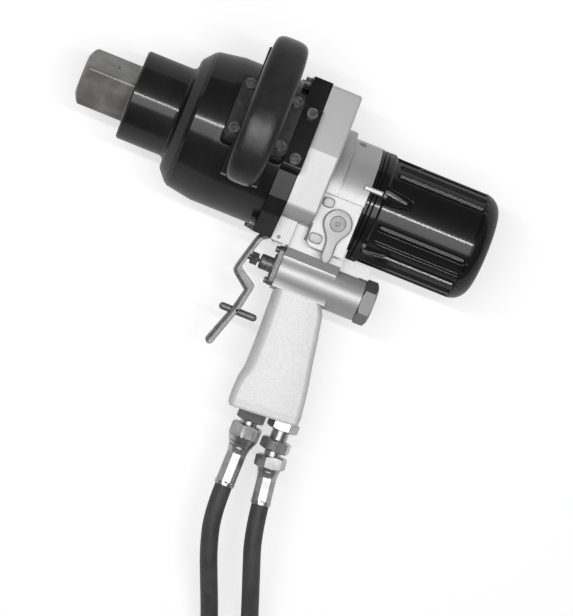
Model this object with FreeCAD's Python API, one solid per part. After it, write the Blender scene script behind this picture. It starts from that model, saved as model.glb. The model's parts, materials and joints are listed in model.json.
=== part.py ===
import FreeCAD, Part

import math
import os

# Hydraulic impact wrench lying on its side, in millimetres. The origin is the centre of the nose's front
# face on the output axis. The drive points along -X, the motor along +X, the grip along -Y.

V = FreeCAD.Vector
AXIS_X = V(1, 0, 0)
AXIS_Y = V(0, 1, 0)
AXIS_Z = V(0, 0, 1)

# Fits
RUN = 0.05
GAP = 0.3

# Square drive and anvil
DRIVE_SQUARE = 38.1
DRIVE_LENGTH = 45.2
DRIVE_CORNER_R = 3.0
DRIVE_TURN = 30.0
DRIVE_CROWN = 6.0
RETAINER_X = -20.4
RETAINER_R = 3.2
RETAINER_DEPTH = 12.0
RETAINER_OUT = 1.2
RETAINER_TRAVEL = 1.5
ANVIL_R = 26.0
ANVIL_CORE_R = 22.0
ANVIL_PILOT_R = 12.0
JAW_R = 29.7
JAW_HALF_WIDTH = 7.6

# Hammer case
NOSE_R = 39.3
NOSE_LENGTH = 43.8
NOSE_FILLET = 4.3
SHOULDER_R = 47.5
CONE_X = 55.3
TAPER_X = 78.2
CASE_R = 64.4
CASE_WALL = 6.0
CASE_BORE_R = CASE_R - CASE_WALL
CONE_R = CASE_R - 3.8
FLANGE_X = 135.7
FLANGE_LENGTH = 16.3
FLANGE_CREST = CASE_R + 5.2
FLANGE_FOOT = -CASE_R - 4.5
FACET_Y = 12.9
CASE_BOLT_ORBIT = CASE_R + 5.9
CASE_BOLT_ANGLES = (26.5, -27.0, -55.4, -124.6, -153.8, 153.8)
CASE_BOLT_HEAD_R = 5.0
CASE_BOLT_R = 3.0
BUSHING_BORE_R = 31.0
BUSHING_X = 7.0
BUSHING_LENGTH = 54.0
SEAL_LENGTH = 6.0
CASE_PAD_RISE = 1.2

# Hammer cage and hammers
CAGE_X = 64.5
CAGE_DISC = 7.0
CAGE_R = CASE_BORE_R - 0.9
CAGE_WEB_R = CAGE_R - 4.3
CAGE_WEB_HALF_ANGLE = 50.0
HAMMER_LENGTH = 27.4
HAMMER_R = CAGE_WEB_R - 5.2
HAMMER_BORE_R = 31.0
HAMMER_SIDE_GAP = 0.4
PIN_ORBIT_R = CAGE_R - 10.0
PIN_R = 6.0
HAMMER_SWING = 5.0

# Drive shaft, bearing and seal
SHAFT_R = 15.0
BEARING_OUTER_R = 27.5
BEARING_LENGTH = 15.0
BEARING_BALLS = 9
SHAFT_SEAL_LENGTH = 7.0

# Side loop handle
HANDLE_TILT = 17.5
HANDLE_X = 107.5
HANDLE_WIDTH = 32.0
HANDLE_HALF = 65.5
HANDLE_BAR = 22.0
SADDLE_X = 80.8
SADDLE_HALF = 30.0
SADDLE_TOP = CASE_R + 4.6
LOOP_HEIGHT = 58.0
LOOP_WAIST = 19.0
LOOP_TUCK = 7.0
LOOP_LAYERS = ((0.0, 0.0), (0.56, 1.4), (0.91, 4.6), (1.0, 8.0))
HANDLE_REACH = SADDLE_TOP + LOOP_HEIGHT
STRAP_THICKNESS = 4.5
CLAMP_LIP = 2.5
CLAMP_SCREW_HALF = 20.4
CLAMP_SCREW_X = (88.0, 128.8)
HANDLE_SCREW_R = 2.5
SCREW_FOOT = math.sqrt((CASE_BORE_R + 2.6) ** 2 - (CLAMP_SCREW_HALF - HANDLE_SCREW_R) ** 2)
BOSS_TOP = CASE_R + 10.6
BOSS_MIDDLE = -4.6
BOSS_HALF = 28.0
BOSS_SCREW_HALF = 21.0
BOSS_SCREW_X = FLANGE_X + FLANGE_LENGTH / 2

# Front plate and motor housing
PLATE_X = FLANGE_X + FLANGE_LENGTH
PLATE_LENGTH = 26.7
PLATE_EDGE_R = 3.5
BEARING_X = PLATE_X + 1.5
BEARING_SHOULDER_R = 25.5
PLATE_CREST = CASE_R + 4.0
PLATE_FOOT = 16.6 - CASE_R
PLATE_TOP = CASE_R + 3.0
FLOOR_Z = -CASE_R
MOTOR_Y = -12.75
MOTOR_R = 49.3
COLLAR_R = 54.2
COLLAR_LENGTH = 10.4
HOUSING_X = PLATE_X + PLATE_LENGTH
HOUSING_LENGTH = 35.0

# Gear motor
GEAR_TEETH = 12
GEAR_PITCH_R = -MOTOR_Y
GEAR_WIDTH = 25.0
GEAR_CASE_R = 40.5
GEAR_CASE_LENGTH = 34.4
END_PLATE = 14.0
WEAR_PLATE = (GEAR_CASE_LENGTH - GEAR_WIDTH) / 2.0 - RUN
GEAR_SHAFT_R = 7.5
IDLER_SHAFT_R = 6.0
GEAR_SCREW_ORBIT = 33.5
GEAR_SCREW_BITE = 7.0

# Rear cover
COVER_X = HOUSING_X + HOUSING_LENGTH
COVER_LENGTH = 115.4
COVER_R = 47.2
COVER_COLLAR_R = 48.9
COVER_COLLAR_LENGTH = 14.3
COVER_WALL = 5.6
COVER_END_R = 16.0
GROOVE_FROM = COVER_X + 17.4
GROOVE_TO = COVER_X + COVER_LENGTH - 18.1
GROOVE_WIDTH = 6.8
GROOVE_DEPTH = 2.6
GROOVE_PITCH = 15.0
GROOVE_FIRST = 17.5
GROOVE_PLACES = 24
GROOVE_MISSING = (1, 2, 3)
POCKET_FIRST = 15.0
POCKETS = 6
POCKET_R = 43.4
POCKET_X = COVER_X + 12.0
POCKET_LENGTH = 26.6
POCKET_HALF = 7.2
POCKET_TAPER = 3.4

# Valve block, spool and trigger group
BLOCK_X = HOUSING_X - 9.7
BLOCK_END = COVER_X + 2.8
BLOCK_TOP = PLATE_FOOT + 3.8
BLOCK_HALF = 27.0
BLOCK_NECK_HALF = 16.0
PIVOT_X = PLATE_X + 5.9
PIVOT_Y = -CASE_R - 0.9
PIVOT_R = 3.0
SPOOL_Y = PIVOT_Y - 24.8
VALVE_R = 18.5
VALVE_END = COVER_X + 29.5
SPOOL_R = 8.0
SPOOL_NECK_R = 5.0
SPOOL_END = VALVE_END - 22.8
SLEEVE_R = 12.0
SLEEVE_END = VALVE_END - 16.8
PLUNGER_R = 6.6
PLUNGER_X = BLOCK_X - 16.4
PLUNGER_TIP = 0.2
BUSHING_FLANGE_R = 10.4
CAP_PLATE = 4.4
CAP_SCREW_Y = (SPOOL_Y + 14.6, SPOOL_Y - 13.5)
SPOOL_TRAVEL = 4.4
PLUG_ACROSS = 34.0
PLUG_LENGTH = 12.3
PLUG_STEM = 6.0
LEVER_HALF = 11.0
LEVER_TIP_R = 3.4
EAR_IN = 11.6
EAR_OUT = 19.0
BRACKET_TOP = PIVOT_Y + 14.3
ADJUSTER_R = 2.5
ADJUSTER_X = PLUNGER_X - 13.4
NUT_X = PLUNGER_X - 8.1
NUT_LENGTH = 6.2
CATCH_X = 150.0
CATCH_Y = PIVOT_Y - 70.9
CATCH_R = 3.2
CATCH_FORWARD = 15.6
CATCH_BACK = 18.6
CATCH_DROP = 1.4
CATCH_PIN_R = 1.5
CATCH_WINDOW = 4.0

# The lever's edges seen from the side, from the pivot: the finger's side, then the grip's side
LEVER_FRONT = (
    (-8.2, 0.2),
    (-13.4, -3.2),
    (-15.9, -7.7),
    (-23.4, -36.2),
    (-23.4, -41.7),
    (-8.2, -52.9),
    (-13.8, -74.7),
    (-24.5, -104.2),
)
LEVER_BACK = (
    (-5.2, -4.2),
    (-10.0, -7.6),
    (-17.9, -34.2),
    (-1.6, -45.7),
    (-2.2, -49.7),
    (-5.5, -67.7),
    (-8.4, -75.7),
    (-18.1, -106.4),
)

# Reversing lever
REVERSE_X = HOUSING_X + 20.1
REVERSE_Y = MOTOR_Y - 24.35
REVERSE_SEAT = 44.5
REVERSE_THICKNESS = 6.0
REVERSE_HEAD_R = 12.3
REVERSE_TAIL = 30.0
REVERSE_LEAN = 1.4
REVERSE_TIP_R = 4.3
REVERSE_VALVE_R = 7.0
REVERSE_VALVE_DEPTH = 32.0
PAD_X = REVERSE_X - 18.7
PAD_FOOT = REVERSE_Y - 25.6
PAD_TOP = REVERSE_Y + 21.1
STOP_FROM_LEVER = ((-12.7, -17.8, 5.4), (-13.5, 14.0, 4.8))
STOP_HEIGHT = 5.0

# Grip and hose fittings
GRIP_TOP = SPOOL_Y - 15.5
GRIP_LENGTH = 105.4
GRIP_BOTTOM = GRIP_TOP - GRIP_LENGTH
GRIP_FOOT = 8.0
GRIP_SLOPE = 4.0
GRIP_CORNER = 9.0
GRIP_SHAPE = (
    (0.0, 172.0, 214.6, 15.5),
    (8.4, 172.4, 219.2, 15.7),
    (28.4, 173.2, 223.2, 16.0),
    (46.4, 173.8, 226.4, 16.2),
    (65.4, 173.9, 230.2, 16.6),
    (81.4, 172.4, 232.8, 17.0),
    (GRIP_LENGTH - GRIP_FOOT, 171.9, 235.0, 17.2),
)
GRIP_PORT_R = 8.0
GRIP_PORT_DEPTH = 12.0
SPOT_FACE_R = 14.4
SPOT_FACE_DEPTH = 1.2
PASSAGE_R = 4.5
LINE_IN_X = 195.6
LINE_OUT_X = 223.7
IN_HEX = 9.6
IN_NECK = 3.4
IN_NUT = 11.9
IN_TAPER = 8.5
IN_FERRULE = 35.3
OUT_HEX = 9.3
OUT_NECK = 8.5
UNION_HEX = 10.2
UNION_NECK = 4.3
OUT_NUT = 11.0
OUT_TAPER = 2.0
OUT_FERRULE = 30.0
OUT_LEAN_DEGREES = 8.5
FITTING_ACROSS = 24.0
HOSE_R = 7.65
FERRULE_R = 8.9
END_FERRULE = 33.0
COUPLER_R = 14.0
COUPLER_BODY = 26.0
NIPPLE_R = 9.85
NIPPLE_LENGTH = 18.0
BARREL_R = 12.0
SLEEVE_LENGTH = 20.0
SLEEVE_TRAVEL = 4.0
HOSE_FLOOR = FLOOR_Z + HOSE_R + 0.05
HOSE_END = FLOOR_Z + COUPLER_R + 0.1
DOWN = V(0, -1, 0)
OUT_LEAN = V(math.sin(math.radians(OUT_LEAN_DEGREES)), -math.cos(math.radians(OUT_LEAN_DEGREES)), 0)

os.makedirs("parts", exist_ok=True)


def save(name, shape):
    """Write one sub-part and print how many solids it has, its volume and whether it is valid."""
    shape.exportStep("parts/" + name + ".step")
    print(name, len(shape.Solids), round(shape.Volume), shape.isValid())


def rod(radius, length, start, direction=AXIS_X):
    return Part.makeCylinder(radius, length, start, direction)


def tube(outer, inner, length, start, direction=AXIS_X):
    return rod(outer, length, start, direction).cut(rod(inner, length, start, direction))


def cone(first, last, length, start, direction=AXIS_X):
    return Part.makeCone(first, last, length, start, direction)


def box(low, high):
    """A box between two corners."""
    return Part.makeBox(high[0] - low[0], high[1] - low[1], high[2] - low[2], V(*low))


def face_of(points):
    """A flat face with straight sides."""
    return Part.Face(Part.makePolygon([V(*p) for p in points + points[:1]]))


def turned(profile, y=0.0, z=0.0):
    """Turn a closed profile of (x, radius) points about the line through y and z along X."""
    face = face_of([(x, y + r, z) for x, r in profile])
    return face.revolve(V(0, y, z), AXIS_X, 360)


def hexagon(across, length, start, direction=AXIS_X, corner=AXIS_Z):
    """A hexagonal prism with one corner along the given direction."""
    radius = across / math.sqrt(3)
    side = direction.cross(corner)
    points = []
    for k in range(6):
        a = math.radians(60 * k)
        points.append(start + corner * (radius * math.cos(a)) + side * (radius * math.sin(a)))
    wire = Part.makePolygon(points + points[:1])
    return Part.Face(wire).extrude(direction * length)


def chamfered_hexagon(across, length, start, direction=AXIS_X, corner=AXIS_Z):
    """A hexagonal nut form whose corners are turned off at both ends."""
    flat = across / 2.0
    tip = across / math.sqrt(3)
    drop = (tip - flat) * 0.6
    body = cone(flat + 0.2, tip + 0.3, drop, start, direction)
    body = body.fuse(rod(tip + 0.3, length - 2 * drop, start + direction * drop, direction))
    body = body.fuse(cone(tip + 0.3, flat + 0.2, drop, start + direction * (length - drop), direction))
    return hexagon(across, length, start, direction, corner).common(body)


def cap_screw(head_r, head_length, shank_r, shank_length, seat, outward):
    """A socket-head screw whose head sits on the seat point and whose shank runs inwards."""
    head = rod(head_r, head_length, seat, outward)
    side = outward.cross(AXIS_Z)
    if side.Length < 0.1:
        side = AXIS_Y
    floor = seat + outward * (head_length * 0.45)
    socket = hexagon(head_r, head_length * 0.55, floor, outward, side.normalize())
    return head.fuse(rod(shank_r, shank_length, seat - outward * shank_length, outward)).cut(socket)


def about_x(shape, degrees, y=0.0, z=0.0):
    turned_shape = shape.copy()
    turned_shape.rotate(V(0, y, z), AXIS_X, degrees)
    return turned_shape


def coil_spring(radius, wire_r, turns, length, start, direction):
    """A round-wire compression spring that fills the given length along a direction."""
    rise = length - 2 * wire_r
    helix = Part.makeHelix(rise / turns, rise, radius)
    profile = Part.Wire(Part.makeCircle(wire_r, V(radius, 0, 0), AXIS_Y))
    spring = Part.Wire(helix).makePipeShell([profile], True, True)
    spring.translate(V(0, 0, wire_r))
    turn = FreeCAD.Rotation(AXIS_Z, direction)
    return spring.transformGeometry(FreeCAD.Placement(start, turn).toMatrix())


def handle_frame(shape):
    """Turn a shape made with its outward side along +Z and its length along Y onto the handle's tilt."""
    return about_x(shape, -HANDLE_TILT)


def prism_x(points, start, length):
    """A prism along X from a closed list of (y, z) points."""
    return face_of([(start, y, z) for y, z in points]).extrude(AXIS_X * length)


def group(shapes):
    return Part.makeCompound(shapes)


# Anvil, with the square drive in front and the two jaws behind


def make_anvil():
    half = DRIVE_SQUARE / 2
    square = box((-DRIVE_LENGTH, -half, -half), (4.0, half, half))
    long_edges = [e for e in square.Edges if abs(e.Vertexes[0].X - e.Vertexes[1].X) > 1]
    square = square.makeFillet(DRIVE_CORNER_R, long_edges)
    crown = turned(
        [
            (-DRIVE_LENGTH, 0),
            (-DRIVE_LENGTH, half - 2.5),
            (-DRIVE_LENGTH + DRIVE_CROWN * 0.45, half + 3.2),
            (-DRIVE_LENGTH + DRIVE_CROWN, half + 7.6),
            (4.0, half + 9.0),
            (4.0, 0),
        ]
    )
    square = about_x(square.common(crown), DRIVE_TURN)
    hole_direction = handle_direction(90.0 - DRIVE_TURN)
    hole_floor = hole_direction * (half - RETAINER_DEPTH) + V(RETAINER_X, 0, 0)
    hole = rod(RETAINER_R, RETAINER_DEPTH, hole_floor, hole_direction)
    journal_end = CAGE_X + CAGE_DISC
    core_end = CAGE_X + 2 * CAGE_DISC + hammer_space() - CAGE_DISC - GAP
    body = turned(
        [
            (-1.5, 0),
            (-1.5, ANVIL_R - 1.5),
            (0.5, ANVIL_R),
            (journal_end, ANVIL_R),
            (journal_end + 1.0, ANVIL_CORE_R),
            (core_end, ANVIL_CORE_R),
            (core_end, ANVIL_PILOT_R),
            (core_end + CAGE_DISC, ANVIL_PILOT_R),
            (core_end + CAGE_DISC, 0),
        ]
    )
    shape = body.fuse(square)
    for index, side in enumerate((1, -1)):
        start = hammer_start(index) + 0.3
        jaw = box((start, 0, -JAW_HALF_WIDTH), (start + HAMMER_LENGTH - 0.6, JAW_R + 1, JAW_HALF_WIDTH))
        jaw = jaw.common(rod(JAW_R, HAMMER_LENGTH, V(start, 0, 0)))
        shape = shape.fuse(about_x(jaw, 0 if side == 1 else 180))
    return shape.cut(hole).removeSplitter()


def handle_direction(degrees):
    """The unit vector in the YZ plane at this angle from +Z towards +Y."""
    a = math.radians(degrees)
    return V(0, math.sin(a), math.cos(a))


def hammer_space():
    return 2 * HAMMER_LENGTH + 3 * HAMMER_SIDE_GAP


def hammer_start(index):
    return CAGE_X + CAGE_DISC + HAMMER_SIDE_GAP + index * (HAMMER_LENGTH + HAMMER_SIDE_GAP)


def make_retainer():
    """The spring-loaded pin in one flat of the square drive, and its spring."""
    out = handle_direction(90.0 - DRIVE_TURN)
    half = DRIVE_SQUARE / 2
    base = V(RETAINER_X, 0, 0)
    length = 6.5
    bottom = half + RETAINER_OUT - length
    pin = rod(RETAINER_R - RUN, length - 1.0, base + out * bottom, out)
    pin = pin.fuse(cone(RETAINER_R - RUN, RETAINER_R - 1.0, 1.0, base + out * (bottom + length - 1.0), out))
    floor = half - RETAINER_DEPTH
    spring_top = bottom - RETAINER_TRAVEL - GAP
    return pin, coil_spring(RETAINER_R - 0.8, 0.4, 3.5, spring_top - floor, base + out * floor, out)


# Hammer case


def crest_drop(crest):
    """How far the tilted facet falls from its upper edge to the crest."""
    return math.tan(math.radians(HANDLE_TILT)) * (crest - FACET_Y)


def flange_outline():
    top = CASE_R + 1.8
    corner = 0.59 * CASE_R
    return [
        (FACET_Y, top),
        (FLANGE_CREST, top - crest_drop(FLANGE_CREST)),
        (FLANGE_CREST, -corner),
        (0.72 * CASE_R, FLOOR_Z),
        (-0.65 * CASE_R, FLOOR_Z),
        (FLANGE_FOOT, -corner),
        (FLANGE_FOOT, corner),
        (-0.776 * CASE_R, 0.87 * CASE_R),
        (-0.551 * CASE_R, 0.963 * CASE_R),
        (-9.6, top),
    ]


def plate_outline():
    return [
        (FACET_Y, PLATE_TOP),
        (PLATE_CREST, PLATE_TOP - crest_drop(PLATE_CREST)),
        (PLATE_CREST, -0.575 * CASE_R),
        (0.7 * CASE_R, FLOOR_Z),
        (-0.62 * CASE_R, FLOOR_Z),
        (PLATE_FOOT, -0.87 * CASE_R),
        (PLATE_FOOT, 0.62 * CASE_R),
        (PLATE_FOOT + 3.4, 0.776 * CASE_R),
        (PLATE_FOOT + 10.4, PLATE_TOP),
    ]


def case_bolt_places():
    places = []
    for degrees in CASE_BOLT_ANGLES:
        a = math.radians(degrees)
        places.append((CASE_BOLT_ORBIT * math.cos(a), CASE_BOLT_ORBIT * math.sin(a)))
    return places


def make_case():
    fillet_arc = []
    for k in range(5):
        a = math.radians(90 * k / 4.0)
        x = NOSE_LENGTH - NOSE_FILLET + NOSE_FILLET * math.sin(a)
        fillet_arc.append((x, NOSE_R + NOSE_FILLET - NOSE_FILLET * math.cos(a)))
    outside = [(0, BUSHING_BORE_R), (0, NOSE_R - 1.5), (1.5, NOSE_R)] + fillet_arc
    outside += [
        (NOSE_LENGTH, SHOULDER_R),
        (NOSE_LENGTH + 1.2, SHOULDER_R + 2.6),
        (CONE_X - 3.4, CONE_R - 2.4),
        (CONE_X, CONE_R),
        (TAPER_X, CASE_R),
        (PLATE_X, CASE_R),
    ]
    inside = [
        (PLATE_X, CASE_BORE_R),
        (CAGE_X - 0.5, CASE_BORE_R),
        (CAGE_X - 3.5, CASE_BORE_R - 6.0),
        (CAGE_X - 3.5, BUSHING_BORE_R),
    ]
    shape = turned(outside + inside)
    flange = prism_x(flange_outline(), FLANGE_X, FLANGE_LENGTH)
    long_edges = [e for e in flange.Edges if abs(e.Vertexes[0].X - e.Vertexes[1].X) > 1]
    corners = [e for e in long_edges if e.Vertexes[0].Z < 45]
    flange = flange.makeFillet(5.0, [e for e in corners if e.Vertexes[0].Z > FLOOR_Z + 1])
    flange = flange.cut(rod(CASE_BORE_R, FLANGE_LENGTH, V(FLANGE_X, 0, 0)))
    shape = shape.fuse(flange)
    shape = shape.cut(box((FLANGE_X, -80, -EAR_IN - 2), (PLATE_X + 1, -CASE_R + 1.4, EAR_IN + 2)))
    pad = tube(CASE_R + CASE_PAD_RISE, CASE_R - 1, FLANGE_X - TAPER_X + 2, V(TAPER_X - 2, 0, 0))
    wedge = prism_x([(0, 0), (76, 41), (60, 90), (-50, 90), (-50, 76)], TAPER_X - 3, FLANGE_X - TAPER_X + 4)
    shape = shape.fuse(pad.common(wedge))
    boss = box(
        (FLANGE_X, BOSS_MIDDLE - BOSS_HALF, CASE_BORE_R + 2), (PLATE_X, BOSS_MIDDLE + BOSS_HALF, BOSS_TOP)
    )
    boss_edges = [e for e in boss.Edges if e.BoundBox.XLength > 1 and e.BoundBox.ZMin > BOSS_TOP - 1]
    boss = handle_frame(boss.makeFillet(2.5, boss_edges))
    shape = shape.fuse(boss)
    for y, z in case_bolt_places():
        shape = shape.cut(rod(CASE_BOLT_R, FLANGE_LENGTH + 2, V(FLANGE_X - 1, y, z)))
    for x in CLAMP_SCREW_X:
        for t in (-CLAMP_SCREW_HALF, CLAMP_SCREW_HALF):
            hole = rod(HANDLE_SCREW_R, CASE_WALL * 2, V(x, t, SCREW_FOOT), AXIS_Z)
            shape = shape.cut(handle_frame(hole))
    for t in (BOSS_MIDDLE - BOSS_SCREW_HALF, BOSS_MIDDLE + BOSS_SCREW_HALF):
        hole = rod(HANDLE_SCREW_R, 12.0, V(BOSS_SCREW_X, t, BOSS_TOP - 12.0), AXIS_Z)
        shape = shape.cut(handle_frame(hole))
    return shape.removeSplitter()


def make_case_bolts():
    bolts = []
    for y, z in case_bolt_places():
        seat = V(FLANGE_X, y, z)
        bolts.append(cap_screw(CASE_BOLT_HEAD_R, 5.6, CASE_BOLT_R, FLANGE_LENGTH + 8.0, seat, V(-1, 0, 0)))
    return group(bolts)


# Side loop handle, its saddle, clamps and screws


def make_saddle():
    plate = box((SADDLE_X, -SADDLE_HALF, CASE_BORE_R - 6), (FLANGE_X - GAP, SADDLE_HALF, SADDLE_TOP))
    edges = [e for e in plate.Edges if abs(e.Vertexes[0].Z - e.Vertexes[1].Z) > 1]
    plate = handle_frame(plate.makeFillet(4.0, edges))
    plate = plate.cut(rod(CASE_R + CASE_PAD_RISE, 200, V(0, 0, 0)))
    for x in CLAMP_SCREW_X:
        for t in (-CLAMP_SCREW_HALF, CLAMP_SCREW_HALF):
            plate = plate.cut(handle_frame(rod(HANDLE_SCREW_R, 20.0, V(x, t, SCREW_FOOT), AXIS_Z)))
    return plate


def rounded_path(points, radius):
    """A closed wire through the points with every corner rounded."""
    edges = []
    starts = []
    ends = []
    count = len(points)
    for k in range(count):
        here = points[k]
        before = points[k - 1]
        after = points[(k + 1) % count]
        r = radius[k]
        u = (before - here).normalize()
        w = (after - here).normalize()
        half = u.getAngle(w) / 2.0
        cut = r / math.tan(half)
        starts.append(here + u * cut)
        ends.append(here + w * cut)
        middle = (u + w).normalize()
        centre = here + middle * (r / math.sin(half))
        edges.append(Part.Arc(starts[k], centre - middle * r, ends[k]).toShape())
    result = []
    for k in range(count):
        result.append(edges[k])
        result.append(Part.makeLine(ends[k], starts[(k + 1) % count]))
    return Part.Wire(result)


def loop_outline(x, inset):
    """The loop's outline at x, drawn in by the inset: half an ellipse on two feet that tuck in."""
    half = HANDLE_HALF - inset
    waist = SADDLE_TOP + LOOP_WAIST
    foot = half - LOOP_TUCK
    tuck_r = (LOOP_TUCK**2 + LOOP_WAIST**2) / (2 * LOOP_TUCK)
    middle = tuck_r - math.sqrt(tuck_r**2 - LOOP_WAIST**2 / 4)
    centre = V(x, 0, waist)
    ellipse = Part.Ellipse(centre + AXIS_Y * half, V(x, 0, HANDLE_REACH - inset), centre)
    between = waist - LOOP_WAIST / 2
    return Part.Wire(
        [
            Part.ArcOfEllipse(ellipse, 0, math.pi).toShape(),
            Part.Arc(V(x, -half, waist), V(x, middle - half, between), V(x, -foot, SADDLE_TOP)).toShape(),
            Part.makeLine(V(x, -foot, SADDLE_TOP), V(x, foot, SADDLE_TOP)),
            Part.Arc(V(x, foot, SADDLE_TOP), V(x, half - middle, between), V(x, half, waist)).toShape(),
        ]
    )


def make_loop():
    """A closed ring whose outside is crowned along and across, with its base strap on the saddle."""
    layers = [(-share, inset) for share, inset in LOOP_LAYERS[:0:-1]] + list(LOOP_LAYERS)
    wires = [loop_outline(HANDLE_X + share * HANDLE_WIDTH / 2, inset) for share, inset in layers]
    ring = Part.makeLoft(wires, True, False)
    x = HANDLE_X - HANDLE_WIDTH / 2
    inner_top = HANDLE_REACH - HANDLE_BAR
    side = HANDLE_HALF - HANDLE_BAR + 3
    strap = SADDLE_TOP + STRAP_THICKNESS
    inner = [V(x, -side, strap), V(x, -side, inner_top), V(x, side, inner_top), V(x, side, strap)]
    round_r = min(22.0, 0.45 * side, 0.7 * (inner_top - strap))
    window = Part.Face(rounded_path(inner, [4, round_r, round_r, 4])).extrude(AXIS_X * HANDLE_WIDTH)
    ring = ring.cut(window)
    inner_edges = []
    for e in ring.Edges:
        b = e.BoundBox
        flat = b.XLength < 0.01 and abs(b.XMin - HANDLE_X) > HANDLE_WIDTH / 2 - 0.1
        within = max(abs(b.YMin), abs(b.YMax)) < side + 0.1 and b.ZMax < inner_top + 0.1
        if flat and within and b.ZMin > SADDLE_TOP + 1:
            inner_edges.append(e)
    ring = ring.makeFillet(STRAP_THICKNESS / 2 - 0.2, inner_edges)
    return handle_frame(ring)


def make_clamps():
    """Two strips beside the loop, each with a lip over the loop's strap and rounded outer corners."""
    shapes = []
    left = HANDLE_X - HANDLE_WIDTH / 2
    right = HANDLE_X + HANDLE_WIDTH / 2
    strap = SADDLE_TOP + STRAP_THICKNESS
    half = CLAMP_SCREW_HALF + 6.6
    for low, high, lip in ((SADDLE_X + 0.5, left, left + 3.5), (right, FLANGE_X - GAP, right - 3.5)):
        strip = box((low, -half, SADDLE_TOP), (high, half, strap + CLAMP_LIP))
        cover = box((min(low, lip), -half, strap), (max(high, lip), half, strap + CLAMP_LIP))
        strip = strip.fuse(cover).removeSplitter()
        outer = low if lip > low and lip < HANDLE_X else high
        corners = [e for e in strip.Edges if e.BoundBox.ZLength > 1 and abs(e.BoundBox.XMin - outer) < 0.01]
        strip = strip.makeFillet(4.0, corners)
        for x in CLAMP_SCREW_X:
            for t in (-CLAMP_SCREW_HALF, CLAMP_SCREW_HALF):
                strip = strip.cut(rod(HANDLE_SCREW_R, 20.0, V(x, t, SCREW_FOOT), AXIS_Z))
        shapes.append(handle_frame(strip))
    return group(shapes)


def make_handle_screws():
    """The six equal cap screws of the handle: four in the clamps and two in the flange's boss."""
    screws = []
    seat = SADDLE_TOP + STRAP_THICKNESS + CLAMP_LIP
    for x in CLAMP_SCREW_X:
        for t in (-CLAMP_SCREW_HALF, CLAMP_SCREW_HALF):
            screws.append(handle_screw(V(x, t, seat), seat - SCREW_FOOT - 0.5))
    for t in (BOSS_MIDDLE - BOSS_SCREW_HALF, BOSS_MIDDLE + BOSS_SCREW_HALF):
        screws.append(handle_screw(V(BOSS_SCREW_X, t, BOSS_TOP), 11.5))
    return group(screws)


def handle_screw(seat, length):
    return handle_frame(cap_screw(4.8, 4.4, HANDLE_SCREW_R, length, seat, AXIS_Z))


# Hammer cage, hammers and pins


def make_cage():
    rear = CAGE_X + CAGE_DISC + hammer_space()
    front_disc = tube(CAGE_R, ANVIL_R + RUN, CAGE_DISC, V(CAGE_X, 0, 0))
    rear_disc = rod(CAGE_R, CAGE_DISC, V(rear, 0, 0))
    web = tube(CAGE_R, CAGE_WEB_R, hammer_space() + 1, V(CAGE_X + CAGE_DISC - 0.5, 0, 0))
    reach = 2 * CAGE_R
    a = math.radians(CAGE_WEB_HALF_ANGLE)
    y = reach * math.sin(a)
    z = reach * math.cos(a)
    wedge = prism_x([(0, 0), (-y, z), (y, z)], CAGE_X, 80.0)
    webs = web.common(wedge).fuse(web.common(about_x(wedge, 180)))
    boss = cone(26.0, SHAFT_R + 2, 8.0, V(rear + CAGE_DISC, 0, 0))
    shaft = rod(SHAFT_R, HOUSING_X + 6 - rear, V(rear, 0, 0))
    tail = rod(GEAR_SHAFT_R, gear_end() + END_PLATE - 2 - HOUSING_X, V(HOUSING_X, 0, 0))
    shape = front_disc.fuse(rear_disc).fuse(webs).fuse(boss).fuse(shaft).fuse(tail)
    shape = shape.cut(rod(ANVIL_PILOT_R + RUN, CAGE_DISC + 0.4, V(rear - 0.1, 0, 0)))
    for side in (1, -1):
        start = V(CAGE_X + 1, side * PIN_ORBIT_R, 0)
        shape = shape.cut(rod(PIN_R, hammer_space() + 2 * CAGE_DISC - 2, start))
    return shape.removeSplitter()


def gear_end():
    return COVER_X + GEAR_CASE_LENGTH


def make_hammer(index):
    """A ring that rocks on the pin at one side and has room for the other pin."""
    start = hammer_start(index)
    side = 1 if index == 0 else -1
    ring = tube(HAMMER_R, HAMMER_BORE_R, HAMMER_LENGTH, V(start, 0, 0))
    ring = ring.cut(rod(PIN_R + RUN, HAMMER_LENGTH, V(start, PIN_ORBIT_R, 0)))
    room = PIN_R + 2 * PIN_ORBIT_R * math.sin(math.radians(HAMMER_SWING)) + 0.5
    floor = PIN_ORBIT_R - PIN_R - 0.8
    notch = box((start - 1, -HAMMER_R - 5, -room), (start + HAMMER_LENGTH + 1, -floor, room))
    ring = ring.cut(notch)
    return about_x(ring, 0 if side == 1 else 180)


def make_pins():
    length = hammer_space() + 2 * CAGE_DISC - 2
    return group([rod(PIN_R, length, V(CAGE_X + 1, side * PIN_ORBIT_R, 0)) for side in (1, -1)])


# Bearing, seal, front plate


def make_bearing():
    """A ball bearing: two rings and its balls, as separate solids."""
    start = V(BEARING_X, 0, 0)
    middle = (SHAFT_R + RUN + BEARING_OUTER_R) / 2
    ball_r = 4.4
    inner = tube(middle - 2.0, SHAFT_R + RUN, BEARING_LENGTH, start)
    outer = tube(BEARING_OUTER_R, middle + 2.0, BEARING_LENGTH, start)
    groove = Part.makeTorus(middle, ball_r, V(BEARING_X + BEARING_LENGTH / 2, 0, 0), AXIS_X)
    solids = [inner.cut(groove), outer.cut(groove)]
    for k in range(BEARING_BALLS):
        place = V(BEARING_X + BEARING_LENGTH / 2, 0, 0) + handle_direction(360.0 * k / BEARING_BALLS) * middle
        solids.append(Part.makeSphere(ball_r - 0.02, place))
    return group(solids)


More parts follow.
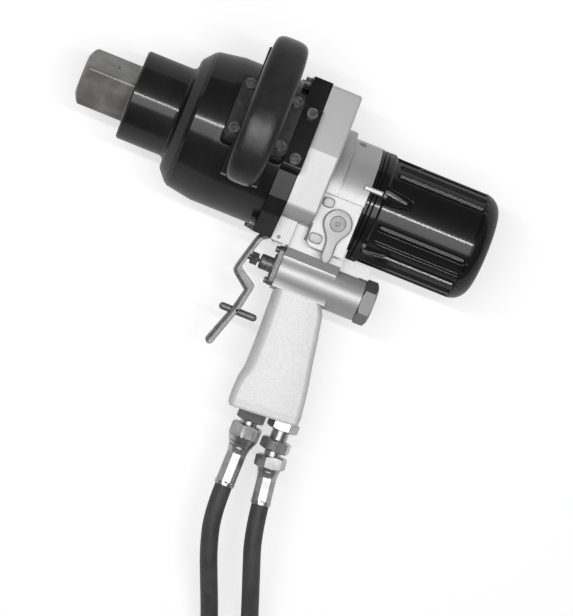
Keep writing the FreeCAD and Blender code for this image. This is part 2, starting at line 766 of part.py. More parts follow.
def make_front_plate():
    plate = prism_x(plate_outline(), PLATE_X, PLATE_LENGTH)
    long_edges = []
    for e in plate.Edges:
        b = e.BoundBox
        if b.XLength > 1 and (b.YMax > PLATE_CREST - 1 or b.ZMax > PLATE_TOP - 1):
            long_edges.append(e)
    plate = plate.makeFillet(PLATE_EDGE_R, long_edges)
    rear_edges = []
    for e in plate.Edges:
        b = e.BoundBox
        if b.XMin > PLATE_X + PLATE_LENGTH - 0.1 and b.ZMin > CASE_R / 2 and b.YMax > PLATE_FOOT + 9:
            rear_edges.append(e)
    plate = plate.makeFillet(2.5, rear_edges)
    apron_top = PLATE_FOOT + 2
    apron_half = 0.56 * CASE_R
    apron = prism_x(
        [
            (apron_top, apron_half),
            (FLANGE_FOOT, apron_half),
            (FLANGE_FOOT, -apron_half),
            (apron_top, -0.8 * CASE_R),
        ],
        PLATE_X,
        BLOCK_X - PLATE_X - 0.8,
    )
    plate = plate.fuse(apron)
    recess = rod(BEARING_OUTER_R, BEARING_LENGTH + 1.5, V(PLATE_X, 0, 0))
    plate = plate.cut(recess).cut(rod(BEARING_SHOULDER_R, PLATE_LENGTH + 2, V(PLATE_X - 1, 0, 0)))
    spigot = tube(CASE_BORE_R, CASE_BORE_R - 6, 5.0, V(PLATE_X - 5.0, 0, 0))
    plate = plate.fuse(spigot)
    room = EAR_OUT + 1.2
    plate = plate.cut(box((PLATE_X - 1, FLANGE_FOOT - 5, -room), (BLOCK_X, BRACKET_TOP, room)))
    for y, z in case_bolt_places():
        plate = plate.cut(rod(CASE_BOLT_R, 8.0, V(PLATE_X, y, z)))
    return plate.removeSplitter()


def make_shaft_seal():
    """A lip seal pressed in the plate behind the bearing."""
    start = BEARING_X + BEARING_LENGTH + GAP
    return tube(BEARING_SHOULDER_R, SHAFT_R + RUN, SHAFT_SEAL_LENGTH, V(start, 0, 0))


# Motor housing with its valve block


def block_outline(top):
    """The valve block across X, from its top to the grip."""
    shoulder = SPOOL_Y + VALVE_R
    return [
        (top, -BLOCK_HALF),
        (top, BLOCK_HALF),
        (shoulder + 1.6, BLOCK_HALF),
        (shoulder - 6.4, BLOCK_NECK_HALF),
        (GRIP_TOP, BLOCK_NECK_HALF),
        (GRIP_TOP, -BLOCK_NECK_HALF),
        (shoulder - 6.4, -BLOCK_NECK_HALF),
        (shoulder + 1.6, -BLOCK_HALF),
    ]


def make_housing():
    collar = rod(COLLAR_R, COLLAR_LENGTH, V(HOUSING_X, MOTOR_Y, 0))
    body = rod(MOTOR_R, HOUSING_LENGTH, V(HOUSING_X, MOTOR_Y, 0))
    shape = collar.fuse(body)
    front = prism_x(block_outline(PLATE_FOOT), BLOCK_X, HOUSING_X - BLOCK_X)
    block = front.fuse(prism_x(block_outline(BLOCK_TOP), HOUSING_X, BLOCK_END - HOUSING_X))
    valve = rod(VALVE_R, VALVE_END - BLOCK_X, V(BLOCK_X, SPOOL_Y, 0))
    seat_pad = box((PAD_X, PAD_FOOT, 20.0), (COVER_X, PAD_TOP, REVERSE_SEAT))
    pad_edges = [e for e in seat_pad.Edges if abs(e.Vertexes[0].Z - e.Vertexes[1].Z) > 1]
    seat_pad = seat_pad.makeFillet(6.0, [e for e in pad_edges if e.Vertexes[0].X < PAD_X + 1])
    strip_top = MOTOR_Y - COVER_R - 1.4
    strip = box((COVER_X - 1, SPOOL_Y + VALVE_R - 0.5, -9.0), (VALVE_END - 0.9, strip_top, 9.0))
    lug = box((COVER_X - 6, MOTOR_Y + 10.4, 30.0), (COVER_X + 11.0, MOTOR_Y + 14.6, COVER_COLLAR_R + 1.6))
    lug = lug.makeFillet(1.4, [e for e in lug.Edges if e.BoundBox.ZMin > COVER_COLLAR_R])
    shape = shape.fuse(block).fuse(valve).fuse(seat_pad).fuse(strip)
    shape = shape.cut(box((HOUSING_X, SPOOL_Y, REVERSE_SEAT), (COVER_X, PAD_TOP, 2 * REVERSE_SEAT)))
    neck = box((COVER_X - 4, SPOOL_Y, -7.0), (VALVE_END - 7.5, strip_top, 7.0))
    shape = shape.fuse(neck).fuse(lug)
    cover_room = rod(COVER_COLLAR_R + GAP, 40, V(COVER_X, MOTOR_Y, 0))
    shape = shape.cut(cover_room)
    shape = shape.cut(rod(SLEEVE_R, VALVE_END - BLOCK_X + 2, V(BLOCK_X - 1, SPOOL_Y, 0)))
    shape = shape.cut(rod(SHAFT_R + 1.5, 12.0, V(HOUSING_X - 0.1, 0, 0)))
    shape = shape.cut(rod(GEAR_SHAFT_R + RUN, HOUSING_LENGTH + 1, V(HOUSING_X, 0, 0)))
    shape = shape.cut(rod(IDLER_SHAFT_R, 10.0, V(COVER_X - 10.0, 2 * MOTOR_Y, 0)))
    valve_floor = V(REVERSE_X, REVERSE_Y, REVERSE_SEAT - REVERSE_VALVE_DEPTH)
    shape = shape.cut(rod(REVERSE_VALVE_R + RUN, REVERSE_VALVE_DEPTH + 1, valve_floor, AXIS_Z))
    for direction in screw_directions(POCKET_FIRST, POCKETS):
        place = V(COVER_X - 12, MOTOR_Y, 0) + direction * cover_screw_orbit()
        shape = shape.cut(rod(1.6, 14.0, place))
    for direction in screw_directions(45.0, 4):
        place = V(COVER_X - GEAR_SCREW_BITE, MOTOR_Y, 0) + direction * GEAR_SCREW_ORBIT
        shape = shape.cut(rod(2.5, GEAR_SCREW_BITE + 1, place))
    plug = plug_place()
    shape = shape.cut(rod(3.0, 5.0, plug - plug_direction() * 4.5, plug_direction()))
    for y in CAP_SCREW_Y:
        shape = shape.cut(rod(1.5, 8.0, V(BLOCK_X - 1, y, 0)))
    return shape.removeSplitter()


def plug_direction():
    return handle_direction(68.0)


def plug_place():
    return V(COLLAR_LENGTH + HOUSING_X + 7.0, MOTOR_Y, 0) + plug_direction() * MOTOR_R


def screw_directions(first, count):
    return [handle_direction(first + 360.0 * k / count) for k in range(count)]


def cover_screw_orbit():
    return POCKET_R + 2.6


# Gear motor


def gear_outline(bore):
    """A spur gear with straight-sided teeth that taper to the tip, as a face across X."""
    module = 2 * GEAR_PITCH_R / GEAR_TEETH
    root = GEAR_PITCH_R - 1.25 * module
    tip = GEAR_PITCH_R + module
    step = 360.0 / GEAR_TEETH
    points = []
    for k in range(GEAR_TEETH):
        a = k * step
        flank = ((root, -0.31), (GEAR_PITCH_R, -0.235), (tip, -0.10))
        for r, offset in flank + tuple((radius, -share) for radius, share in flank[::-1]):
            angle = math.radians(a + offset * step)
            points.append(V(0, r * math.sin(angle), r * math.cos(angle)))
    face = Part.Face(Part.makePolygon(points + points[:1]))
    solid = face.extrude(AXIS_X * GEAR_WIDTH)
    return solid.cut(rod(bore, GEAR_WIDTH, V(0, 0, 0)))


def gear_start():
    return COVER_X + WEAR_PLATE + RUN


def make_drive_gear():
    gear = gear_outline(GEAR_SHAFT_R)
    gear.translate(V(gear_start(), 0, 0))
    return gear


def make_idler_gear():
    gear = gear_outline(IDLER_SHAFT_R + RUN)
    gear.rotate(V(0, 0, 0), AXIS_X, 180.0 / GEAR_TEETH)
    gear.translate(V(gear_start(), 2 * MOTOR_Y, 0))
    return gear


def gear_room(radius, length, start):
    pair = rod(radius, length, V(start, 0, 0)).fuse(rod(radius, length, V(start, 2 * MOTOR_Y, 0)))
    return pair


def make_gear_case():
    body = rod(GEAR_CASE_R, GEAR_CASE_LENGTH, V(COVER_X, MOTOR_Y, 0))
    tip = GEAR_PITCH_R * (1 + 2.0 / GEAR_TEETH) + RUN
    body = body.cut(gear_room(tip, GEAR_CASE_LENGTH, COVER_X))
    for direction in screw_directions(45.0, 4):
        place = V(COVER_X - 1, MOTOR_Y, 0) + direction * GEAR_SCREW_ORBIT
        body = body.cut(rod(2.5, GEAR_CASE_LENGTH + 2, place))
    return body


def make_wear_plates():
    tip = GEAR_PITCH_R * (1 + 2.0 / GEAR_TEETH)
    plates = []
    for start in (COVER_X, gear_end() - WEAR_PLATE):
        plate = gear_room(tip, WEAR_PLATE, start)
        plate = plate.cut(rod(GEAR_SHAFT_R + RUN, WEAR_PLATE, V(start, 0, 0)))
        plate = plate.cut(rod(IDLER_SHAFT_R, WEAR_PLATE, V(start, 2 * MOTOR_Y, 0)))
        plates.append(plate.removeSplitter())
    return group(plates)


def make_end_plate():
    plate = rod(GEAR_CASE_R, END_PLATE, V(gear_end(), MOTOR_Y, 0))
    plate = plate.cut(rod(GEAR_SHAFT_R + RUN, END_PLATE - 1.5, V(gear_end(), 0, 0)))
    plate = plate.cut(rod(IDLER_SHAFT_R, 8.0, V(gear_end(), 2 * MOTOR_Y, 0)))
    for direction in screw_directions(45.0, 4):
        place = V(gear_end() - 1, MOTOR_Y, 0) + direction * GEAR_SCREW_ORBIT
        plate = plate.cut(rod(2.5, END_PLATE + 2, place))
    return plate


def make_idler_shaft():
    return rod(IDLER_SHAFT_R, GEAR_CASE_LENGTH + 18.0, V(COVER_X - 10.0, 2 * MOTOR_Y, 0))


def make_gear_screws():
    screws = []
    seat = gear_end() + END_PLATE
    for direction in screw_directions(45.0, 4):
        place = V(seat, MOTOR_Y, 0) + direction * GEAR_SCREW_ORBIT
        screws.append(cap_screw(4.2, 5.0, 2.5, seat - COVER_X + GEAR_SCREW_BITE, place, AXIS_X))
    return group(screws)


# Rear cover


def make_cover():
    end = COVER_X + COVER_LENGTH
    dome = []
    for k in range(6):
        a = math.radians(90 * k / 5.0)
        x = end - COVER_END_R - 3.0 + COVER_END_R * math.sin(a)
        dome.append((x, COVER_R - COVER_END_R + COVER_END_R * math.cos(a)))
    collar = COVER_X + COVER_COLLAR_LENGTH
    outside = [
        (COVER_X, COVER_COLLAR_R - 0.8),
        (COVER_X + 0.8, COVER_COLLAR_R),
        (COVER_X + 2.6, COVER_COLLAR_R),
        (COVER_X + 3.4, COVER_COLLAR_R - 0.8),
        (COVER_X + 4.2, COVER_COLLAR_R),
        (COVER_X + 6.2, COVER_COLLAR_R),
        (COVER_X + 7.0, COVER_COLLAR_R - 0.8),
        (COVER_X + 7.8, COVER_COLLAR_R),
        (collar - 1.7, COVER_COLLAR_R),
        (collar, COVER_R),
    ]
    inner = COVER_R - COVER_WALL
    inside = [
        (end - COVER_WALL, 0),
        (end - COVER_WALL, inner - 12),
        (end - COVER_WALL - 12, inner),
        (COVER_X, inner),
    ]
    shape = turned(outside + dome + [(end, 0)] + inside, MOTOR_Y)
    tools = []
    for k in range(GROOVE_PLACES):
        if (GROOVE_PLACES - k) % GROOVE_PLACES in GROOVE_MISSING:
            continue
        half = GROOVE_WIDTH / 2
        slot = box((GROOVE_FROM, -half, COVER_R - GROOVE_DEPTH), (GROOVE_TO, half, COVER_R + 4))
        slot.rotate(V(0, 0, 0), AXIS_X, GROOVE_FIRST + GROOVE_PITCH * k)
        slot.translate(V(0, MOTOR_Y, 0))
        tools.append(slot)
    for k in range(POCKETS):
        outline = [
            (POCKET_X, -POCKET_HALF),
            (POCKET_X + 4.5, -POCKET_HALF),
            (POCKET_X + POCKET_LENGTH, POCKET_TAPER - POCKET_HALF),
            (POCKET_X + POCKET_LENGTH, POCKET_HALF - POCKET_TAPER),
            (POCKET_X + 4.5, POCKET_HALF),
            (POCKET_X, POCKET_HALF),
        ]
        pocket = face_of([(x, t, POCKET_R) for x, t in outline]).extrude(AXIS_Z * 8)
        pocket.rotate(V(0, 0, 0), AXIS_X, -POCKET_FIRST - 360.0 * k / POCKETS)
        pocket.translate(V(0, MOTOR_Y, 0))
        tools.append(pocket)
        direction = screw_directions(POCKET_FIRST, POCKETS)[k]
        place = V(COVER_X - 1, MOTOR_Y, 0) + direction * cover_screw_orbit()
        tools.append(rod(1.6, POCKET_X - COVER_X + 2, place))
    return shape.cut(group(tools))


def make_cover_screws():
    screws = []
    for direction in screw_directions(POCKET_FIRST, POCKETS):
        place = V(POCKET_X, MOTOR_Y, 0) + direction * cover_screw_orbit()
        screws.append(cap_screw(2.55, 3.0, 1.6, POCKET_X - COVER_X + 11.0, place, AXIS_X))
    return group(screws)


def make_cover_ring():
    """The o-ring between gear case and cover."""
    inner = COVER_R - COVER_WALL
    middle = (inner + GEAR_CASE_R) / 2
    return Part.makeTorus(middle, (inner - GEAR_CASE_R) / 2 - 0.01, V(COVER_X + 20, MOTOR_Y, 0), AXIS_X)


# Spool valve


def make_spool():
    start = BLOCK_X + 4.0
    shape = rod(PLUNGER_R, start - PLUNGER_X - 1.0, V(PLUNGER_X + 1.0, SPOOL_Y, 0))
    shape = shape.fuse(cone(PLUNGER_R - 1.0, PLUNGER_R, 1.0, V(PLUNGER_X, SPOOL_Y, 0)))
    shape = shape.fuse(
        turned(
            [
                (start, 0),
                (start, SPOOL_R),
                (start + 10, SPOOL_R),
                (start + 10, SPOOL_NECK_R),
                (start + 18, SPOOL_NECK_R),
                (start + 18, SPOOL_R),
                (start + 30, SPOOL_R),
                (start + 30, SPOOL_NECK_R),
                (start + 38, SPOOL_NECK_R),
                (start + 38, SPOOL_R),
                (SPOOL_END, SPOOL_R),
                (SPOOL_END, 0),
            ],
            SPOOL_Y,
        )
    )
    return shape.cut(rod(4.6, 6.0, V(SPOOL_END - 6.0, SPOOL_Y, 0)))


def make_sleeve():
    """The ported sleeve that the spool slides in."""
    start = BLOCK_X + 2.5
    shape = tube(SLEEVE_R, SPOOL_R + RUN, SLEEVE_END - start, V(start, SPOOL_Y, 0))
    for x in (start + 16, start + 36):
        shape = shape.cut(rod(2.2, 40, V(x, SPOOL_Y - 20, 0), AXIS_Y))
    return shape


def make_spool_bushing():
    """The flanged guide in front of the valve block, through the retaining plate."""
    flange = tube(BUSHING_FLANGE_R, PLUNGER_R + RUN, 5.6, V(BLOCK_X - 5.6, SPOOL_Y, 0))
    body = tube(SLEEVE_R, PLUNGER_R + RUN, 2.4, V(BLOCK_X, SPOOL_Y, 0))
    return flange.fuse(body).removeSplitter()


def make_cap_plate():
    plate = box((BLOCK_X - CAP_PLATE, SPOOL_Y - 16.5, -13.0), (BLOCK_X, SPOOL_Y + 18.6, 13.0))
    edges = [e for e in plate.Edges if abs(e.Vertexes[0].X - e.Vertexes[1].X) > 1]
    plate = plate.makeFillet(5.0, edges)
    plate = plate.cut(rod(BUSHING_FLANGE_R, 10, V(BLOCK_X - 6, SPOOL_Y, 0)))
    for y in CAP_SCREW_Y:
        plate = plate.cut(rod(1.5, 10.0, V(BLOCK_X - 6, y, 0)))
    return plate


def make_cap_screws():
    screws = []
    for y in CAP_SCREW_Y:
        screws.append(cap_screw(2.75, 3.0, 1.5, 10.5, V(BLOCK_X - CAP_PLATE, y, 0), V(-1, 0, 0)))
    return group(screws)


def make_spool_spring():
    """The return spring, from the spool's pocket towards the plug."""
    start = SPOOL_END - 6.0
    length = VALVE_END - PLUG_STEM - SPOOL_TRAVEL - GAP - start
    return coil_spring(3.6, 0.8, 7.0, length, V(start, SPOOL_Y, 0), AXIS_X)


def make_hex_plug():
    head = chamfered_hexagon(PLUG_ACROSS, PLUG_LENGTH, V(VALVE_END, SPOOL_Y, 0), AXIS_X, AXIS_Y)
    stem = rod(SLEEVE_R, PLUG_STEM, V(VALVE_END - PLUG_STEM, SPOOL_Y, 0))
    return head.fuse(stem)


# Trigger lever, pivots, safety catch


def lever_point(place, z=-LEVER_HALF):
    return V(PIVOT_X + place[0], PIVOT_Y + place[1], z)


def make_trigger():
    """A bent bar, wider below its first bend, with a rounded end, a hub and a window for the catch."""
    start = V(PIVOT_X, PIVOT_Y, -LEVER_HALF)
    outline = [start] + [lever_point(p) for p in LEVER_FRONT] + [lever_point(p) for p in LEVER_BACK[::-1]]
    bar = Part.Face(Part.makePolygon(outline + outline[:1])).extrude(AXIS_Z * (2 * LEVER_HALF))
    bends = []
    for e in bar.Edges:
        b = e.BoundBox
        if b.ZLength > 1 and lever_point(LEVER_BACK[-2]).y < b.YMin < lever_point(LEVER_FRONT[0]).y - 1:
            bends.append(e)
    bar = bar.makeFillet(1.6, bends)
    end = (lever_point(LEVER_FRONT[-1]) + lever_point(LEVER_BACK[-1])) * 0.5
    tip = rod(LEVER_TIP_R, 2 * LEVER_HALF, end, AXIS_Z)
    hub = rod(PIVOT_R + 2.2, 2 * LEVER_HALF, start, AXIS_Z)
    shape = bar.fuse(hub).fuse(tip)
    shape = shape.cut(rod(PIVOT_R + RUN, 2 * LEVER_HALF, start, AXIS_Z))
    room = box(
        (CATCH_X - 30, CATCH_Y - 24, -CATCH_WINDOW), (CATCH_X + 20, CATCH_Y + 24, CATCH_WINDOW)
    )
    shape = shape.cut(room)
    shape = shape.cut(rod(CATCH_PIN_R, 2 * LEVER_HALF, V(CATCH_X, CATCH_Y, -LEVER_HALF), AXIS_Z))
    shape = shape.cut(rod(ADJUSTER_R, 30, V(ADJUSTER_X, SPOOL_Y, 0)))
    return shape.removeSplitter()


def make_adjusting_screw():
    """The screw in the trigger that pushes the spool, with a round tip."""
    tip = PLUNGER_X - PLUNGER_TIP - ADJUSTER_R
    shape = rod(ADJUSTER_R, tip - ADJUSTER_X, V(ADJUSTER_X, SPOOL_Y, 0))
    return shape.fuse(Part.makeSphere(ADJUSTER_R, V(tip, SPOOL_Y, 0)))


def make_lock_nut():
    nut = chamfered_hexagon(10.6, NUT_LENGTH, V(NUT_X, SPOOL_Y, 0), AXIS_X, AXIS_Z)
    return nut.cut(rod(ADJUSTER_R, NUT_LENGTH + 2, V(NUT_X - 1, SPOOL_Y, 0)))


def make_bracket():
    """A web under the front plate with two ears that hold the trigger pivot."""
    back = BLOCK_X - 0.8
    web = BRACKET_TOP - 6.0
    shape = box((PLATE_X, web, -EAR_OUT), (back, BRACKET_TOP, EAR_OUT))
    for low in (EAR_IN, -EAR_OUT):
        ear = box((PLATE_X, PIVOT_Y, low), (back, web + 1, low + EAR_OUT - EAR_IN))
        nose = rod(6.2, EAR_OUT - EAR_IN, V(PIVOT_X + 1.5, PIVOT_Y, low), AXIS_Z)
        shape = shape.fuse(ear).fuse(nose)
    shape = shape.cut(box((PLATE_X - 9, PIVOT_Y - 20, -EAR_OUT), (PLATE_X, BRACKET_TOP + 5, EAR_OUT)))
    return shape.cut(rod(PIVOT_R, 40, V(PIVOT_X, PIVOT_Y, -20), AXIS_Z)).removeSplitter()


def make_pivot_pin():
    pin = rod(PIVOT_R, 2 * EAR_OUT + 1.6, V(PIVOT_X, PIVOT_Y, -EAR_OUT - 0.8), AXIS_Z)
    return pin


def make_catch():
    """The crossbar that stands between trigger and grip."""
    left = V(CATCH_X - CATCH_FORWARD + CATCH_R, CATCH_Y - CATCH_DROP, 0)
    right = V(CATCH_X + CATCH_BACK - CATCH_R, CATCH_Y - CATCH_DROP, 0)
    bar = rod(CATCH_R, right.x - left.x, left)
    bar = bar.fuse(Part.makeSphere(CATCH_R, left)).fuse(Part.makeSphere(CATCH_R, right))
    return bar.cut(rod(CATCH_PIN_R + RUN, 20, V(CATCH_X, CATCH_Y, -10), AXIS_Z)).removeSplitter()


def make_catch_pin():
    return rod(CATCH_PIN_R, 2 * LEVER_HALF, V(CATCH_X, CATCH_Y, -LEVER_HALF), AXIS_Z)


# Reversing lever and rotary valve


def make_reverse_lever():
    z = REVERSE_SEAT + GAP
    head = rod(REVERSE_HEAD_R, REVERSE_THICKNESS, V(REVERSE_X, REVERSE_Y, z), AXIS_Z)
    tip_x = REVERSE_X + REVERSE_LEAN
    tip_y = REVERSE_Y - REVERSE_TAIL
    tip = rod(REVERSE_TIP_R, REVERSE_THICKNESS, V(tip_x, tip_y, z), AXIS_Z)
    tail = face_of(
        [
            (REVERSE_X - REVERSE_HEAD_R + 1.6, REVERSE_Y - 5.6, z),
            (tip_x - REVERSE_TIP_R, tip_y - 0.1, z),
            (tip_x + REVERSE_TIP_R, tip_y - 0.1, z),
            (REVERSE_X + REVERSE_HEAD_R - 1.6, REVERSE_Y - 5.6, z),
        ]
    ).extrude(AXIS_Z * REVERSE_THICKNESS)
    shape = head.fuse(tail).fuse(tip).removeSplitter()
    top = []
    for e in shape.Edges:
        if e.BoundBox.ZMin > z + REVERSE_THICKNESS - 0.01:
            top.append(e)
    shape = shape.makeFillet(1.6, top)
    return shape.cut(rod(REVERSE_VALVE_R - 2.0, 20, V(REVERSE_X, REVERSE_Y, z - 1), AXIS_Z))


def make_reverse_screw():
    z = REVERSE_SEAT + GAP + REVERSE_THICKNESS
    disc = rod(6.8, 1.6, V(REVERSE_X, REVERSE_Y, z), AXIS_Z)
    top = [e for e in disc.Edges if e.BoundBox.ZMin > z + 1.5]
    disc = disc.makeFillet(0.6, top)
    return disc.cut(rod(1.7, 1.0, V(REVERSE_X, REVERSE_Y, z + 0.8), AXIS_Z))


def make_reverse_valve():
    """The rotary valve with its flow slot, and the square end that drives it."""
    z = REVERSE_SEAT - REVERSE_VALVE_DEPTH
    body = rod(REVERSE_VALVE_R, REVERSE_VALVE_DEPTH - 0.5, V(REVERSE_X, REVERSE_Y, z + 0.2), AXIS_Z)
    top = REVERSE_SEAT - 0.3
    stem = rod(REVERSE_VALVE_R - 2.0, GAP + REVERSE_THICKNESS + 0.3, V(REVERSE_X, REVERSE_Y, top), AXIS_Z)
    slot = box((REVERSE_X - 10, REVERSE_Y - 2.5, z + 5), (REVERSE_X + 10, REVERSE_Y + 2.5, z + 13))
    return body.fuse(stem).cut(slot).removeSplitter()


def make_stops():
    """The two stop posts on the lever's flat."""
    posts = []
    for x, y, radius in STOP_FROM_LEVER:
        post = rod(radius, STOP_HEIGHT, V(REVERSE_X + x, REVERSE_Y + y, REVERSE_SEAT), AXIS_Z)
        top = [e for e in post.Edges if e.BoundBox.ZMin > REVERSE_SEAT + STOP_HEIGHT - 0.1]
        posts.append(post.makeFillet(1.4, top))
    return group(posts)


# Grip


def grip_wire(y, low, high, half, r):
    """A rounded rectangle across Y."""
    a = r * (1 - math.sqrt(0.5))
    edges = [
        Part.makeLine(V(low + r, y, -half), V(high - r, y, -half)),
        Part.Arc(V(high - r, y, -half), V(high - a, y, -half + a), V(high, y, -half + r)).toShape(),
        Part.makeLine(V(high, y, -half + r), V(high, y, half - r)),
        Part.Arc(V(high, y, half - r), V(high - a, y, half - a), V(high - r, y, half)).toShape(),
        Part.makeLine(V(high - r, y, half), V(low + r, y, half)),
        Part.Arc(V(low + r, y, half), V(low + a, y, half - a), V(low, y, half - r)).toShape(),
        Part.makeLine(V(low, y, half - r), V(low, y, -half + r)),
        Part.Arc(V(low, y, -half + r), V(low + a, y, -half + a), V(low + r, y, -half)).toShape(),
    ]
    return Part.Wire(edges)


def port_face(x):
    """The middle of the spot face round a port, which lies a little inside the slanted foot."""
    low, high = GRIP_SHAPE[-1][1:3]
    slope = math.tan(math.radians(GRIP_SLOPE))
    return V(x, GRIP_BOTTOM + (x - (low + high) / 2) * slope + SPOT_FACE_DEPTH, 0)


def make_grip():
    """A lofted grip with a slanted foot, spot-faced round its two ports."""
    wires = [grip_wire(GRIP_TOP - down, low, high, half, GRIP_CORNER) for down, low, high, half in GRIP_SHAPE]
    down, low, high, half = GRIP_SHAPE[-1]
    body = Part.makeLoft(wires, True, False)
    end = grip_wire(GRIP_BOTTOM, low + 1.6, high - 0.6, half - 1.6, GRIP_CORNER - 1.6)
    end.rotate(V((low + high) / 2, GRIP_BOTTOM, 0), AXIS_Z, GRIP_SLOPE)
    shape = body.fuse(Part.makeLoft([wires[-1], end], True, True))
    for x in (LINE_IN_X, LINE_OUT_X):
        shape = shape.cut(rod(SPOT_FACE_R, 10, port_face(x) + DOWN * 10, AXIS_Y))
    shape = shape.cut(rod(VALVE_R, 100, V(BLOCK_X - 20, SPOOL_Y, 0)))
    for x in (LINE_IN_X, LINE_OUT_X):
        top_x = LINE_IN_X - 8.0 if x == LINE_IN_X else LINE_OUT_X - 18.0
        shape = shape.cut(rod(GRIP_PORT_R, GRIP_PORT_DEPTH + 4, port_face(x) + DOWN * 4, AXIS_Y))
        start = port_face(x) + AXIS_Y * (GRIP_PORT_DEPTH - 1)
        way = V(top_x, GRIP_TOP, 0) - start
        shape = shape.cut(rod(PASSAGE_R, way.Length + 4.0, start, way.normalize()))
    return shape


# Hose fittings, hoses and quick couplers


def make_adapters():
    """Two port adapters, each a stub in the grip, a hexagon and a nipple."""
    adapters = []
    for x, hex_length, neck in ((LINE_IN_X, IN_HEX, IN_NECK), (LINE_OUT_X, OUT_HEX, OUT_NECK)):
        face = port_face(x)
        shape = rod(GRIP_PORT_R, GRIP_PORT_DEPTH - 3.0, face, AXIS_Y)
        shape = shape.fuse(chamfered_hexagon(FITTING_ACROSS, hex_length, face, DOWN, AXIS_X))
        shape = shape.fuse(rod(7.6, neck, face + DOWN * hex_length, DOWN))
        adapters.append(shape.cut(rod(PASSAGE_R, 60, face + DOWN * 40, AXIS_Y)).removeSplitter())
    return group(adapters)


def make_union():
    """The extra union of the outlet line, bent a little to the rear."""
    start = port_face(LINE_OUT_X) + DOWN * (OUT_HEX + OUT_NECK)
    shape = chamfered_hexagon(FITTING_ACROSS, UNION_HEX, start, DOWN, AXIS_X)
    elbow = start + DOWN * UNION_HEX
    shape = shape.fuse(rod(7.4, UNION_NECK + 3.0, elbow - OUT_LEAN * 3.0, OUT_LEAN))
    return shape.removeSplitter()


def in_nut_start():
    return port_face(LINE_IN_X) + DOWN * (IN_HEX + IN_NECK)


def out_nut_start():
    return port_face(LINE_OUT_X) + DOWN * (OUT_HEX + OUT_NECK + UNION_HEX) + OUT_LEAN * UNION_NECK


def make_nuts():
    """The swivel nuts with the tapered stems of the hose ends."""
    nuts = []
    for start, along, hex_length, taper in (
        (in_nut_start(), DOWN, IN_NUT, IN_TAPER),
        (out_nut_start(), OUT_LEAN, OUT_NUT, OUT_TAPER),
    ):
        shape = chamfered_hexagon(FITTING_ACROSS, hex_length, start, along, along.cross(AXIS_Z))
        nuts.append(shape.fuse(cone(9.6, 7.6, taper, start + along * hex_length, along)).removeSplitter())
    return group(nuts)


def make_near_ferrules():
    first = make_ferrule(in_nut_start() + DOWN * (IN_NUT + IN_TAPER), DOWN, IN_FERRULE)
    second = make_ferrule(out_nut_start() + OUT_LEAN * (OUT_NUT + OUT_TAPER), OUT_LEAN, OUT_FERRULE)
    return group([first, second])


def make_ferrule(start, along, length):
    """A crimped ferrule with its collar at the start and crimp bands along it."""
    shape = rod(FERRULE_R - 0.4, length, start, along).fuse(rod(FERRULE_R + 0.6, 2.6, start, along))
    bands = int((length - 5.0) / 7.2)
    for k in range(bands):
        shape = shape.fuse(rod(FERRULE_R, 5.2, start + along * (4.6 + 7.2 * k), along))
    return shape.removeSplitter()


def hose_in_route():
    start = in_nut_start() + DOWN * (IN_NUT + IN_TAPER + IN_FERRULE)
    return [
        start,
        start + DOWN * 26.0,
        V(204.0, -335.0, -4.5),
        V(216.5, -364.0, -15.0),
        V(229.5, -394.0, -31.0),
        V(241.5, -428.0, -46.5),
        V(250.0, -468.0, -55.5),
        V(254.0, -512.0, HOSE_FLOOR),
        V(253.0, -558.0, HOSE_FLOOR),
        V(246.0, -603.0, HOSE_END),
        V(234.0, -646.0, HOSE_END),
    ]


def hose_out_route():
    start = out_nut_start() + OUT_LEAN * (OUT_NUT + OUT_TAPER + OUT_FERRULE)
    return [
        start,
        start + OUT_LEAN * 28.0,
        V(246.0, -341.0, -4.5),
        V(257.0, -370.0, -15.0),
        V(268.5, -400.0, -30.5),
        V(279.5, -434.0, -46.0),
        V(289.0, -474.0, -55.3),
        V(295.0, -518.0, HOSE_FLOOR),
        V(297.5, -564.0, HOSE_FLOOR),
        V(294.5, -610.0, HOSE_END),
        V(286.5, -654.0, HOSE_END),
    ]


def hose_tube(name, route):
    """A round tube along straight runs joined by tangent arcs."""
    points = route
    edges = []
    at = points[0]
    length = 0.0
    for k in range(1, len(points) - 1):
        here = points[k]
        u = (points[k - 1] - here).normalize()
        w = (points[k + 1] - here).normalize()
        turn = math.pi - u.getAngle(w)
        run = min((points[k - 1] - here).Length, (points[k + 1] - here).Length)
        radius = 0.45 * run / math.tan(turn / 2)
        cut = 0.45 * run
        start = here + u * cut
        end = here + w * cut
        middle = (u + w).normalize()
        half = (math.pi - turn) / 2
        centre = here + middle * (radius / math.sin(half))
        edges.append(Part.LineSegment(at, start).toShape())
        edges.append(Part.Arc(start, centre - middle * radius, end).toShape())
        length += (start - at).Length + radius * turn
        at = end
        print(name, "radius", round(radius), "turn", round(math.degrees(turn), 1), "run", round(run, 1))
    edges.append(Part.LineSegment(at, points[-1]).toShape())
    length += (points[-1] - at).Length
    path = Part.Wire(edges)
    circle = Part.makeCircle(HOSE_R, points[0], points[1] - points[0])
    solid = path.makePipeShell([Part.Wire(circle)], True, False)
    ratio = solid.Volume / (length * math.pi * HOSE_R**2)
    print(name, "length", round(length, 1), "volume ratio", round(ratio, 5))
    return solid


def end_of(route):
    """The end point of a route and the way that it points there."""
    return route[-1], (route[-1] - route[-2]).normalize()


def make_end_ferrule(route):
    """The ferrule at the coupler's side of a hose."""
    last, along = end_of(route)
    return make_ferrule(last + along * END_FERRULE, along * -1, END_FERRULE)


def coupler_place(route):
    last, along = end_of(route)
    return last + along * END_FERRULE, along


